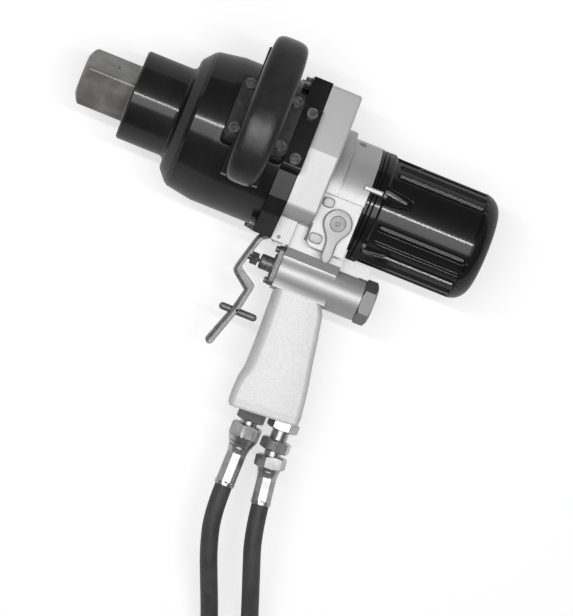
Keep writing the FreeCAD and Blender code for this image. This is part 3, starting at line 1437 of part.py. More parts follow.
def make_male_coupler():
    """The plug half: a hexagon, a shoulder and a plain nipple."""
    start, along = coupler_place(hose_in_route())
    half = COUPLER_BODY / 2
    shape = chamfered_hexagon(FITTING_ACROSS, half, start, along, along.cross(AXIS_Z))
    shape = shape.fuse(rod(COUPLER_R - 2.5, half, start + along * half, along))
    return shape.fuse(rod(NIPPLE_R, NIPPLE_LENGTH, start + along * COUPLER_BODY, along)).removeSplitter()


def make_female_coupler():
    """The socket half: a hexagon and a barrel with the bore for a nipple."""
    start, along = coupler_place(hose_out_route())
    half = COUPLER_BODY / 2
    shape = chamfered_hexagon(FITTING_ACROSS, half, start, along, along.cross(AXIS_Z))
    shape = shape.fuse(rod(BARREL_R, half + SLEEVE_LENGTH, start + along * half, along))
    mouth = start + along * (COUPLER_BODY + SLEEVE_LENGTH - NIPPLE_LENGTH)
    return shape.cut(rod(NIPPLE_R + RUN, NIPPLE_LENGTH, mouth, along)).removeSplitter()


def make_coupler_sleeve():
    """The sleeve that is drawn back to free the plug."""
    start, along = coupler_place(hose_out_route())
    place = start + along * (COUPLER_BODY / 2 + SLEEVE_TRAVEL + 0.5)
    return tube(COUPLER_R, BARREL_R + RUN, SLEEVE_LENGTH, place, along)


# Everything, written one node at a time

pin_solid, retainer_spring = make_retainer()

parts = {
    "anvil": make_anvil(),
    "retainer_pin": pin_solid,
    "retainer_spring": retainer_spring,
    "nose_bushing": tube(BUSHING_BORE_R, ANVIL_R + RUN, BUSHING_LENGTH, V(BUSHING_X, 0, 0)),
    "nose_seal": tube(BUSHING_BORE_R, ANVIL_R + RUN, SEAL_LENGTH, V(BUSHING_X - SEAL_LENGTH, 0, 0)),
    "hammer_case": make_case(),
    "case_bolts": make_case_bolts(),
    "handle_saddle": make_saddle(),
    "loop_handle": make_loop(),
    "handle_clamps": make_clamps(),
    "handle_screws": make_handle_screws(),
    "hammer_cage": make_cage(),
    "front_hammer": make_hammer(0),
    "rear_hammer": make_hammer(1),
    "hammer_pins": make_pins(),
    "shaft_bearing": make_bearing(),
    "shaft_seal": make_shaft_seal(),
    "front_plate": make_front_plate(),
    "motor_housing": make_housing(),
    "housing_plug": cap_screw(2.9, 0.4, 3.0, 4.4, plug_place(), plug_direction()),
    "drive_gear": make_drive_gear(),
    "idler_gear": make_idler_gear(),
    "idler_shaft": make_idler_shaft(),
    "gear_case": make_gear_case(),
    "wear_plates": make_wear_plates(),
    "gear_end_plate": make_end_plate(),
    "gear_screws": make_gear_screws(),
    "rear_cover": make_cover(),
    "cover_screws": make_cover_screws(),
    "cover_ring": make_cover_ring(),
    "valve_spool": make_spool(),
    "spool_sleeve": make_sleeve(),
    "spool_bushing": make_spool_bushing(),
    "cap_plate": make_cap_plate(),
    "cap_screws": make_cap_screws(),
    "spool_spring": make_spool_spring(),
    "hex_plug": make_hex_plug(),
    "trigger_lever": make_trigger(),
    "adjusting_screw": make_adjusting_screw(),
    "lock_nut": make_lock_nut(),
    "trigger_bracket": make_bracket(),
    "trigger_pivot_pin": make_pivot_pin(),
    "safety_catch": make_catch(),
    "catch_pin": make_catch_pin(),
    "reversing_lever": make_reverse_lever(),
    "reversing_screw": make_reverse_screw(),
    "reversing_valve": make_reverse_valve(),
    "lever_stops": make_stops(),
    "grip": make_grip(),
    "port_adapters": make_adapters(),
    "outlet_union": make_union(),
    "hose_nuts": make_nuts(),
    "hose_ferrules": make_near_ferrules(),
    "inlet_hose": hose_tube("inlet_hose", hose_in_route()),
    "outlet_hose": hose_tube("outlet_hose", hose_out_route()),
    "inlet_end_ferrule": make_end_ferrule(hose_in_route()),
    "outlet_end_ferrule": make_end_ferrule(hose_out_route()),
    "male_coupler": make_male_coupler(),
    "female_coupler": make_female_coupler(),
    "coupler_sleeve": make_coupler_sleeve(),
}

for node_name, node_shape in parts.items():
    save(node_name, node_shape)
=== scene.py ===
import json
import math

import bmesh
import bpy
import numpy as np
from mathutils import Matrix, Vector

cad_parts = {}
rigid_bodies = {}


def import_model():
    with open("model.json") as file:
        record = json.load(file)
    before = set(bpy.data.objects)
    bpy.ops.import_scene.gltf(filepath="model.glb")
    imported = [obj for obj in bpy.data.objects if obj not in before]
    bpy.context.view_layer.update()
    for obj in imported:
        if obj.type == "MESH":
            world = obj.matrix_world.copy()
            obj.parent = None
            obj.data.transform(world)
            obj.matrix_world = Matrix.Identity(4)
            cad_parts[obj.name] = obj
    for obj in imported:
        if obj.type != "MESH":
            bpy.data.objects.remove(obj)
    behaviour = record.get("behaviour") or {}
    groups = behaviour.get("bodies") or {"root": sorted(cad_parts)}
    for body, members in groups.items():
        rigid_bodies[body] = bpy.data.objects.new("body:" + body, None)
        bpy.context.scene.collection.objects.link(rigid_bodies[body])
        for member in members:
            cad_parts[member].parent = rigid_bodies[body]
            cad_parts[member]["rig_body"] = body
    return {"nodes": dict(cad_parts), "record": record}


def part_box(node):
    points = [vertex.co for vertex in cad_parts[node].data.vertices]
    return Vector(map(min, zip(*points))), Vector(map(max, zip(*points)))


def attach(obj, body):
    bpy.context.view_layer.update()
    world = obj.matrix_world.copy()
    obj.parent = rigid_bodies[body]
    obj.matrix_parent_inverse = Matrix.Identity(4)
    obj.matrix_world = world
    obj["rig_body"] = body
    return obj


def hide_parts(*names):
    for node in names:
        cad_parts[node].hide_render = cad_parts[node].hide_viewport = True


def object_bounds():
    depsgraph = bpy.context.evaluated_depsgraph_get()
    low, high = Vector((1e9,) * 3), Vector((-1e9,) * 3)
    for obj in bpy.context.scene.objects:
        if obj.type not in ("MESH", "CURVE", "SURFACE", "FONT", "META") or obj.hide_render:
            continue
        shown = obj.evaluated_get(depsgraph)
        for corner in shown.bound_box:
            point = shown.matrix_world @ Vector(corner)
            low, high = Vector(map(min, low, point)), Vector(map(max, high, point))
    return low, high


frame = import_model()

cad_bounds = [list(corner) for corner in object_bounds()]
node = frame["nodes"]

# The view. A product picture taken from straight above, with the wrench lying on its side and turned 22 degrees
# in the frame. The picture is 573 by 616 pixels and covers 0.85 mm a pixel in the plane of the output axis.
VIEW_TURN = math.radians(22)
VIEW_FROM = Vector((0.030, -0.050, 2.30))
VIEW_TO = Vector((0.1887, -0.1192, 0.0))
VIEW_ACROSS = 616 * 0.00085


def placed(name, data):
    """A new object of the scene, at the origin."""
    made = bpy.data.objects.new(name, data)
    bpy.context.collection.objects.link(made)
    return made


camera = placed("camera", bpy.data.cameras.new("camera"))
ahead = (VIEW_TO - VIEW_FROM).normalized()
right = ahead.cross(Vector((-math.sin(VIEW_TURN), math.cos(VIEW_TURN), 0))).normalized()
above = right.cross(ahead)
camera.matrix_world = Matrix(
    ((right.x, above.x, -ahead.x, VIEW_FROM.x), (right.y, above.y, -ahead.y, VIEW_FROM.y),
     (right.z, above.z, -ahead.z, VIEW_FROM.z), (0, 0, 0, 1)))
camera.data.lens = camera.data.sensor_width * (VIEW_TO - VIEW_FROM).length / VIEW_ACROSS
camera.data.clip_end = 20
bpy.context.scene.camera = camera
bpy.context.scene.view_settings.view_transform = "Standard"

# The white table and the light. The table and the low wall far round it show white, and the table keeps a soft
# shadow. A soft box hangs over the tool, and a narrow strip beside the camera draws the streak along the castings.
FLOOR_Z = cad_bounds[0][2]
TABLE_HALF = 9.0
WALL_AWAY, WALL_HIGH, WALL_SIDES = 8.0, 1.7, 64
ROOM_LIGHT = 0.14


class Num:
    """A socket of a material that takes part in arithmetic. Each sign adds its Math node."""

    def __init__(self, finish, socket):
        self.finish = finish
        self.socket = socket

    def math(self, operation, *values):
        return self.finish.node("ShaderNodeMath", {"operation": operation}, values)

    def __add__(self, other):
        return self.math("ADD", self, other)

    def __mul__(self, other):
        return self.math("MULTIPLY", self, other)

    __radd__ = __add__
    __rmul__ = __mul__

    def between(self, low, high):
        """0 below low, 1 above high, smooth in between."""
        return self.finish.node("ShaderNodeMapRange", {"interpolation_type": "SMOOTHSTEP"},
                                {"Value": self, "From Min": low, "From Max": high})


class Finish:
    """A material: node() adds a node with its settings first and then its sockets' values or links."""

    def __init__(self, name):
        self.material = bpy.data.materials.new(name)
        self.material.use_nodes = True
        self.tree = self.material.node_tree
        self.shader = self.tree.nodes["Principled BSDF"]

    def node(self, kind, settings=None, values=(), out=0):
        made = self.tree.nodes.new(kind)
        for key, value in (settings or {}).items():
            setattr(made, key, value)
        for key, value in (values.items() if isinstance(values, dict) else enumerate(values)):
            self.put(made.inputs[key], value)
        return Num(self, made.outputs[out])

    def put(self, socket, value):
        if isinstance(value, Num):
            self.tree.links.new(value.socket, socket)
        else:
            socket.default_value = value

    def set(self, **sockets):
        """Principled sockets by their names, with underscores for spaces."""
        for key, value in sockets.items():
            self.put(self.shader.inputs[key.replace("_", " ")], value)

    def where(self, scale=(1, 1, 1)):
        """The place on the object in metres, stretched for a grain."""
        at = self.node("ShaderNodeTexCoord", out="Object")
        return self.node("ShaderNodeMapping", {}, {"Vector": at, "Scale": scale})

    def noise(self, scale, detail=3.0, roughness=0.5, at=None):
        values = {"Vector": at or self.where(), "Scale": scale, "Detail": detail, "Roughness": roughness}
        return self.node("ShaderNodeTexNoise", {}, values)

    def mix(self, amount, first, second):
        """The first colour where amount is 0 and the second where it is 1."""
        return self.node("ShaderNodeMix", {"data_type": "RGBA"}, {0: amount, 6: first, 7: second}, 2)

    def bump(self, height, depth):
        """A Bump node on the height, whose full range stands for the depth in metres."""
        return self.node("ShaderNodeBump", {}, {"Strength": 1.0, "Distance": depth, "Height": height})


def grey(level, warm=0.0):
    """A display grey level from 0 to 255 as a linear colour, made warmer or cooler by a small share."""
    c = level / 255
    linear = c / 12.92 if c < 0.04045 else ((c + 0.055) / 1.055) ** 2.4
    return (linear * (1 + warm), linear, linear * (1 - warm), 1.0)


def backdrop(name, finish, corners, faces, colour, shown):
    """A part of the set under or round the tool, in matt paper. The camera, gloss and glass see it glow in the shown
    grey: the glow's colour is black for every other ray, so that it gives the tool no light."""
    mesh = bpy.data.meshes.new(name)
    mesh.from_pydata(corners.tolist(), [], faces.tolist())
    paper = Finish(finish)
    camera_ray, gloss_ray, glass_ray = (paper.node("ShaderNodeLightPath", out=f"Is {ray} Ray")
                                        for ray in ("Camera", "Glossy", "Transmission"))
    seen = camera_ray.math("MAXIMUM", camera_ray.math("MAXIMUM", camera_ray, gloss_ray), glass_ray)
    paper.set(Base_Color=colour, Roughness=0.9, Emission_Color=paper.mix(seen, grey(0), shown),
              Emission_Strength=1.0)
    mesh.materials.append(paper.material)
    placed(name, mesh)


def lamp(name, place, size, power, towards):
    """A rectangular area lamp that faces a point."""
    light = bpy.data.lights.new(name, "AREA")
    light.shape = "RECTANGLE"
    light.size, light.size_y = size
    light.energy = power
    made = placed(name, light)
    made.location = place
    made.rotation_euler = (Vector(towards) - Vector(place)).to_track_quat("-Z", "Y").to_euler()


table = np.array([(x * TABLE_HALF, y * TABLE_HALF, FLOOR_Z) for x, y in ((-1, -1), (1, -1), (1, 1), (-1, 1))])
backdrop("table", "white_paper", table, np.arange(4)[None], grey(178), grey(206))
bearing = np.linspace(0, 2 * math.pi, WALL_SIDES, endpoint=False)
wall_foot = np.stack([WALL_AWAY * np.cos(bearing), WALL_AWAY * np.sin(bearing), np.full(WALL_SIDES, FLOOR_Z)], 1)
side = np.arange(WALL_SIDES)
beyond = np.roll(side, -1)
backdrop("wall", "white_screen", np.concatenate([wall_foot, wall_foot + (0, 0, WALL_HIGH)]),
         np.stack([beyond, side, side + WALL_SIDES, beyond + WALL_SIDES], 1), grey(60), grey(232))
world = bpy.data.worlds.new("room")
bpy.context.scene.world = world
world.use_nodes = True
world.node_tree.nodes["Background"].inputs["Color"].default_value = (1, 1, 1, 1)
world.node_tree.nodes["Background"].inputs["Strength"].default_value = ROOM_LIGHT
lamp("soft_box", (0.18, -0.36, 2.20), (1.9, 0.75), 17, (0.18, -0.1, 0))
lamp("strip", (-0.05, 0.13, 1.75), (1.6, 0.055), 18, (-0.05, 0, 0))

# Hoses. Two wire-braided rubber hoses with a wrapped, dull black cover, pushed into crimped ferrules. They droop
# to the table and run out of the picture to their quick couplers.
HOSE_ACROSS = 0.0153
HOSE_ROUTES = {
    "inlet_hose": [
        (0.1956, -0.27905, 0.0), (0.1956, -0.30505, 0.0), (0.204, -0.335, -0.0045), (0.2165, -0.364, -0.015),
        (0.2295, -0.394, -0.031), (0.2415, -0.428, -0.0465), (0.25, -0.468, -0.0555), (0.254, -0.512, -0.0567),
        (0.253, -0.558, -0.0567), (0.246, -0.603, -0.0503), (0.234, -0.646, -0.0503)],
    "outlet_hose": [
        (0.23069, -0.28316, 0.0), (0.23483, -0.31086, 0.0), (0.246, -0.341, -0.0045), (0.257, -0.37, -0.015),
        (0.2685, -0.4, -0.0305), (0.2795, -0.434, -0.046), (0.289, -0.474, -0.0553), (0.295, -0.518, -0.0567),
        (0.2975, -0.564, -0.0567), (0.2945, -0.61, -0.0503), (0.2865, -0.654, -0.0503)],
}
rubber = Finish("hose_rubber")
wrap = rubber.noise(900, 2, 0.6, rubber.where((1, 0.25, 1)))
dust = rubber.noise(60, 4, 0.6)
rubber.set(Base_Color=rubber.mix(dust.between(0.35, 0.75), grey(56), grey(72)), Roughness=dust * 0.2 + 0.5,
           Normal=rubber.bump(wrap, 0.00025))
hoses = {}
for name, route in HOSE_ROUTES.items():
    curve = bpy.data.curves.new(name + "_cover", "CURVE")
    curve.dimensions = "3D"
    spline = curve.splines.new("NURBS")
    spline.points.add(len(route) - 1)
    for point, place in zip(spline.points, route):
        point.co = (*place, 1)
    spline.order_u = 3
    spline.use_endpoint_u = True
    spline.resolution_u = 12
    curve.bevel_depth = HOSE_ACROSS / 2
    curve.bevel_resolution = 8
    curve.use_fill_caps = True
    curve.materials.append(rubber.material)
    hoses[name] = placed(name + "_cover", curve)
    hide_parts(name)
    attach(hoses[name], "housing")

# Zinc-plated fittings. Port adapters screwed into the grip, an extra union on the outlet, swivel nuts, and ferrules
# crimped on eight sides. All turned from steel bar and bright plated, with a faint uneven haze.
NUT_ACROSS = 0.024
THREAD_LONG, THREAD_R = 0.009, 0.008
NECK_R, BORE_R, ELBOW_R = 0.0076, 0.0045, 0.0074
IN_HEX, IN_NECK = 0.0096, 0.0034
OUT_HEX, OUT_NECK = 0.0093, 0.0085
UNION_HEX, ELBOW_LONG = 0.0102, 0.0043
IN_CRIMP, OUT_CRIMP = 0.0353, 0.030
FERRULE_R, CRIMP_TURN = 0.0089, math.radians(22.5)
DOWN = Vector((0, -1, 0))
LEAN = Vector((math.sin(math.radians(8.5)), -math.cos(math.radians(8.5)), 0))
zinc = Finish("zinc_plate")
haze = zinc.noise(90, 4, 0.6)
grime = zinc.noise(420, 3, 0.6)
zinc.set(Base_Color=zinc.mix(haze.between(0.3, 0.7), grey(150), grey(178)), Metallic=0.85,
         Roughness=grime * 0.16 + haze * 0.12 + 0.16, Normal=zinc.bump(grime, 0.00003))


def smoothed(name, mesh, crease, finish):
    """An object of the mesh in its finish, smooth apart from the edges that are sharper than the crease."""
    mesh.polygons.foreach_set("use_smooth", np.ones(len(mesh.polygons), bool))
    mesh.set_sharp_from_angle(angle=math.radians(crease))
    mesh.materials.append(finish.material)
    return placed(name, mesh)


def skin(name, shells, finish, slot, *stands_for, body="housing", crease=32.0):
    """A closed piece made of shells. A shell is an array of rings by points by x, y, z: each ring joins the next
    with four-sided faces, and a ring of equal points is a pole. Doubles are merged and faces turned outwards."""
    points, faces, count = [], [], 0
    for rings in shells:
        n, m = rings.shape[:2]
        at = count + np.arange(n * m).reshape(n, m)
        faces.append(np.stack([at[:-1], np.roll(at[:-1], -1, 1), np.roll(at[1:], -1, 1), at[1:]], 2).reshape(-1, 4))
        points.append(rings.reshape(-1, 3))
        count += n * m
    made = bpy.data.meshes.new(name)
    made.from_pydata(np.concatenate(points).tolist(), [], np.concatenate(faces).tolist())
    shape = bmesh.new()
    shape.from_mesh(made)
    bmesh.ops.remove_doubles(shape, verts=shape.verts, dist=2e-6)
    bmesh.ops.dissolve_degenerate(shape, edges=shape.edges, dist=1e-6)
    bmesh.ops.recalc_face_normals(shape, faces=shape.faces)
    shape.to_mesh(made)
    shape.free()
    piece = smoothed(name, made, crease, finish)
    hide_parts(*stands_for)
    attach(piece, body)
    return piece


def closed(rings):
    """The rings with a point at the middle of the first and of the last, so that the ends are shut."""
    ends = [np.broadcast_to(rings[k].mean(0), rings[k].shape)[None] for k in (0, -1)]
    return np.concatenate([ends[0], rings, ends[1]])


def spun(rows, start, along, turn=0.0, count=72):
    """A profile turned about a line: each row is a distance along it and a radius, and either may be an array
    that varies round the line. Angle 0 is square to the line and to +Z, or +X where the line is upright."""
    along = np.array(along, float) / np.linalg.norm(along)
    side = np.array((1.0, 0, 0)) if abs(along[2]) == 1 else np.cross(along, (0, 0, 1.0))
    side /= np.linalg.norm(side)
    angle = np.linspace(0, 2 * math.pi, count, endpoint=False) + turn
    spoke = np.outer(np.cos(angle), side) + np.outer(np.sin(angle), np.cross(side, along))
    rings = [np.array(start) + np.outer(np.broadcast_to(s, count), along)
             + spoke * np.broadcast_to(r, count)[:, None] for s, r in rows]
    return np.stack(rings)


def facets(flat, sides, count=72):
    """A prism's radius round its axis: half its width over the cosine of the angle from the nearest flat."""
    angle = np.linspace(0, 2 * math.pi, count, endpoint=False)
    sector = 2 * math.pi / sides
    return flat / np.cos((angle % sector) - sector / 2)


def nut(across, last):
    """Rows of a hexagon from 0 to last. Its corners are turned off at 30 degrees down to a circle of 0.95 of its
    width, which leaves a round edge on each end."""
    radius, end = facets(across / 2, 6), 0.475 * across
    cut = (radius - end) * math.tan(math.radians(30))
    return [(0, end), (cut, radius), (last - cut, radius), (last, end)]


def fitting(face, hexagon, neck, turn):
    """A thread in the port, the hexagon and the neck below it, with the bore through."""
    rows = [(-THREAD_LONG, BORE_R), (-THREAD_LONG, THREAD_R - 0.0005), (0.0005 - THREAD_LONG, THREAD_R),
            (0, THREAD_R), *nut(NUT_ACROSS, hexagon), (hexagon, NECK_R), (hexagon + neck, NECK_R),
            (hexagon + neck, BORE_R), (-THREAD_LONG, BORE_R)]
    return spun(rows, face, DOWN, math.radians(turn))


def ferrule(start, along, length):
    """A collar, then eight crimped flats that run down the sleeve and end in a plain lip over the hose."""
    crimped = np.minimum(facets(0.92 * FERRULE_R, 8), FERRULE_R)
    rows = [(0, 0.0090), (0.0004, 0.0094), (0.0022, 0.0094), (0.0030, FERRULE_R), (0.0046, FERRULE_R),
            (0.0058, crimped), (0.0060, crimped), (length - 0.0042, crimped), (length - 0.0040, crimped),
            (length - 0.0030, FERRULE_R), (length - 0.0004, FERRULE_R), (length, FERRULE_R - 0.0006)]
    return closed(spun(rows, start, along, CRIMP_TURN))


in_face = Vector((0.1956, -0.21035, 0.0))
out_face = Vector((0.2237, -0.20838, 0.0))
skin("port_fittings", [fitting(in_face, IN_HEX, IN_NECK, 24), fitting(out_face, OUT_HEX, OUT_NECK, -8)],
     zinc, "zinc", "port_adapters", crease=24)
union_face = out_face + DOWN * (OUT_HEX + OUT_NECK)
elbow = union_face + DOWN * UNION_HEX
skin("outlet_union_bent", [closed(spun(nut(NUT_ACROSS, UNION_HEX), union_face, DOWN, math.radians(14))),
                           closed(spun([(-0.003, ELBOW_R), (ELBOW_LONG, ELBOW_R)], elbow, LEAN))],
     zinc, "zinc", "outlet_union", crease=24)
in_nut = in_face + DOWN * (IN_HEX + IN_NECK)
in_nut_rows = nut(NUT_ACROSS, 0.0119)[:3] + [(0.0119, 0.0131), (0.0165, 0.0112), (0.0168, 0.0104), (0.0172, 0.0109),
                                             (0.0196, 0.0100), (0.0200, 0.0092), (0.0204, 0.0095)]
out_nut = elbow + LEAN * ELBOW_LONG
out_nut_rows = nut(NUT_ACROSS, 0.011) + [(0.011, 0.0104), (0.013, 0.0098)]
skin("swivel_nuts", [closed(spun(in_nut_rows, in_nut, DOWN, math.radians(12))),
                     closed(spun(out_nut_rows, out_nut, LEAN, math.radians(8)))],
     zinc, "zinc", "hose_nuts", crease=24)
skin("near_ferrules", [ferrule(in_nut + DOWN * in_nut_rows[-1][0], DOWN, IN_CRIMP),
                       ferrule(out_nut + LEAN * out_nut_rows[-1][0], LEAN, OUT_CRIMP)],
     zinc, "zinc", "hose_ferrules")

# Quick couplers at the far ends of the hoses. The plug is a hexagon, a shoulder and a grooved nipple. The socket is a
# hexagon and a barrel under a knurled sleeve, which is drawn back to let the plug go.
END_CRIMP = 0.033
COUPLER_HEX = 0.013
BARREL_R, SLEEVE_R, SLEEVE_BORE_R = 0.012, 0.014, 0.01205
KNURLS, KNURL_DEEP = 48, 0.00045


def coupler_foot(name):
    """Where the coupler starts, a ferrule's length past the end of the hose, and the way that it points."""
    last, before = (Vector(HOSE_ROUTES[name][k]) for k in (-1, -2))
    along = (last - before).normalized()
    return last + along * END_CRIMP, along


at, along = coupler_foot("inlet_hose")
ends = [skin("inlet_end_crimp", [ferrule(at, -along, END_CRIMP)], zinc, "zinc", "inlet_end_ferrule")]
plug_rows = nut(NUT_ACROSS, COUPLER_HEX) + [
    (COUPLER_HEX, 0.0115), (0.0255, 0.0115), (0.026, 0.0111), (0.026, 0.00985), (0.0315, 0.00985), (0.0325, 0.0088),
    (0.0345, 0.0088), (0.0355, 0.00985), (0.0425, 0.00985), (0.0440, 0.0088), (0.0440, 0.0050), (0.034, 0.0050)]
ends.append(skin("plug_half", [closed(spun(plug_rows, at, along))], zinc, "zinc", "male_coupler"))

at, along = coupler_foot("outlet_hose")
ends = [skin("outlet_end_crimp", [ferrule(at, -along, END_CRIMP)], zinc, "zinc", "outlet_end_ferrule")]
socket_rows = nut(NUT_ACROSS, COUPLER_HEX) + [
    (COUPLER_HEX, BARREL_R), (0.0455, BARREL_R), (0.046, BARREL_R - 0.0005), (0.046, 0.0104), (0.0455, 0.0099),
    (0.028, 0.0099), (0.028, 0.005), (0.020, 0.005)]
ends.append(skin("socket_half", [closed(spun(socket_rows, at, along))], zinc, "zinc", "female_coupler"))
knurl = SLEEVE_R - np.abs((np.linspace(0, KNURLS, 3 * KNURLS, endpoint=False) % 1) - 0.5) * 2 * KNURL_DEEP
sleeve_rows = [(0.0175, SLEEVE_BORE_R), (0.0175, SLEEVE_R - 0.0006), (0.0181, SLEEVE_R), (0.0215, SLEEVE_R),
               (0.0219, knurl), (0.0331, knurl), (0.0335, SLEEVE_R), (0.0369, SLEEVE_R),
               (0.0375, SLEEVE_R - 0.0006), (0.0375, SLEEVE_BORE_R), (0.0175, SLEEVE_BORE_R)]
ends.append(skin("knurled_sleeve", [spun(sleeve_rows, at, along, count=3 * KNURLS)], zinc, "zinc",
                 "coupler_sleeve", body="coupler_sleeve"))

# Square drive. The end of the anvil, hardened bare steel, darkened in blotches by heat treatment, ground on its flats
# and slightly crowned at the end. A spring pin in one flat holds the socket.
SLOT_OF = {part["node"]: part["material_slot"] for part in frame["record"]["subparts"]}
EDGE_ANGLE = 35


def eased(name, finish, width):
    """A CAD piece as it leaves the file bench: its own shape, merged and cleared of the lines across its flat
    faces, with every edge sharper than 35 degrees rounded to the width."""
    source = node[name]
    corners = np.empty(len(source.data.vertices) * 3, np.float32)
    source.data.vertices.foreach_get("co", corners)
    sides = np.empty(len(source.data.polygons) * 3, np.int32)
    source.data.polygons.foreach_get("vertices", sides)
    made = bpy.data.meshes.new(name + "_eased")
    made.from_pydata(corners.reshape(-1, 3).tolist(), [], sides.reshape(-1, 3).tolist())
    shape = bmesh.new()
    shape.from_mesh(made)
    bmesh.ops.remove_doubles(shape, verts=shape.verts, dist=5e-6)
    bmesh.ops.dissolve_degenerate(shape, edges=shape.edges, dist=1e-6)
    bmesh.ops.dissolve_limit(shape, angle_limit=math.radians(0.5), verts=shape.verts, edges=shape.edges)
    shape.to_mesh(made)
    shape.free()
    piece = smoothed(name + "_eased", made, EDGE_ANGLE, finish)
    bevel = piece.modifiers.new("edges", "BEVEL")
    bevel.width = width
    bevel.segments = 2
    bevel.limit_method = "ANGLE"
    bevel.angle_limit = math.radians(EDGE_ANGLE)
    bevel.miter_outer = "MITER_ARC"
    bevel.harden_normals = True
    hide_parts(name)
    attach(piece, source["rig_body"])


steel = Finish("drive_steel")
blotch = steel.noise(38, 5, 0.62)
smear = steel.noise(160, 4, 0.6, steel.where((0.35, 1, 1)))
scale = blotch * 0.7 + smear * 0.3
steel.set(Base_Color=steel.mix(scale.between(0.38, 0.62), grey(106, 0.03), grey(134, 0.01)), Metallic=0.25,
          Roughness=blotch * 0.2 + 0.32, Normal=steel.bump(smear, 0.00006))
eased("anvil", steel, 0.0006)
eased("retainer_pin", steel, 0.0004)

# Hammer case. A steel casting turned at the nose and painted satin black, with the saddle cast on its side for the
# loop handle and a bolted flange at the rear.
enamel = Finish("black_enamel")
peel = enamel.noise(420, 2, 0.5)
tone = enamel.noise(22, 4, 0.6)
enamel.set(Base_Color=enamel.mix(tone.between(0.35, 0.7), grey(23), grey(33)), Roughness=tone * 0.12 + 0.34,
           Specular_IOR_Level=0.1, Coat_Weight=0.11, Coat_Roughness=0.13, Coat_IOR=2.5,
           Normal=enamel.bump(peel, 0.00006))


def coat(name, finish):
    """Give a CAD piece its finish and leave its shape as it is."""
    for slot in node[name].material_slots:
        slot.material = finish.material


coat("hammer_case", enamel)
eased("handle_saddle", enamel, 0.0010)
clamp_paint = Finish("clamp_paint")
chip = clamp_paint.noise(140, 4, 0.6)
clamp_paint.set(Base_Color=clamp_paint.mix(chip.between(0.35, 0.75), grey(42), grey(60)),
                Roughness=chip * 0.15 + 0.36, Normal=clamp_paint.bump(chip, 0.00006))
eased("handle_clamps", clamp_paint, 0.0008)
oxide = Finish("black_oxide")
wear = oxide.noise(260, 4, 0.6)
oxide.set(Base_Color=oxide.mix(wear.between(0.3, 0.75), grey(80), grey(126)), Metallic=0.5,
          Roughness=wear * 0.2 + 0.34)
eased("case_bolts", oxide, 0.0006)
eased("handle_screws", oxide, 0.0006)

# Loop handle. A steel strap bent to a loop under a thick moulded rubber cover, crowned on its outside and widest at
# its top. Its base lies on the saddle between the two clamp strips.
TILT = math.radians(17.5)
LOOP_X = 0.1075
LOOP_REACH, LOOP_BASE, LOOP_WAIST = 0.127, 0.069, 0.088
LOOP_HALF, LOOP_TUCK, LOOP_BAR = 0.0655, 0.007, 0.022
LOOP_NARROW, LOOP_WIDE = 0.0255, 0.0320
STRAP_THICK, STRAP_HALF, STRAP_EDGE = 0.0045, 0.016, 0.001


def box_grid(low, high, bottom, top, low_round, high_round, bend=2.0, steps=6):
    """Rings of a rounded rectangle, as an array of rings by points by (across, up). Each corner is a quarter of a
    superellipse: x to the bend plus y to the bend is one, 2 for a circle and near 1 for a chamfer. The roundings
    are pairs of a size across and a size up."""
    angle = np.linspace(0, math.pi / 2, steps)
    out, rise = np.cos(angle) ** (2 / bend), np.sin(angle) ** (2 / bend)
    back, fall = out[::-1], rise[::-1]
    low, high, bottom, top = (np.asarray(v, float).reshape(-1, 1) for v in (low, high, bottom, top))
    lx, lz, hx, hz = (np.asarray(v, float).reshape(-1, 1) for v in (*low_round, *high_round))
    across = [high - hx + hx * out, low + lx - lx * back, low + lx - lx * out, high - hx + hx * back]
    up = [top - hz + hz * rise, top - lz + lz * fall, bottom + lz - lz * rise, bottom + hz - hz * fall]
    count = max(v.shape[0] for v in across + up)
    across = np.concatenate([np.broadcast_to(v, (count, steps)) for v in across], 1)
    up = np.concatenate([np.broadcast_to(v, (count, steps)) for v in up], 1)
    return np.stack([across, up], 2)


def tilted(rings):
    """From (x, along the loop, outwards) to the frame: the loop leans 17.5 degrees towards +Y."""
    x, t, n = np.moveaxis(rings, -1, 0)
    return np.stack([x, n * math.sin(TILT) + t * math.cos(TILT), n * math.cos(TILT) - t * math.sin(TILT)], -1)


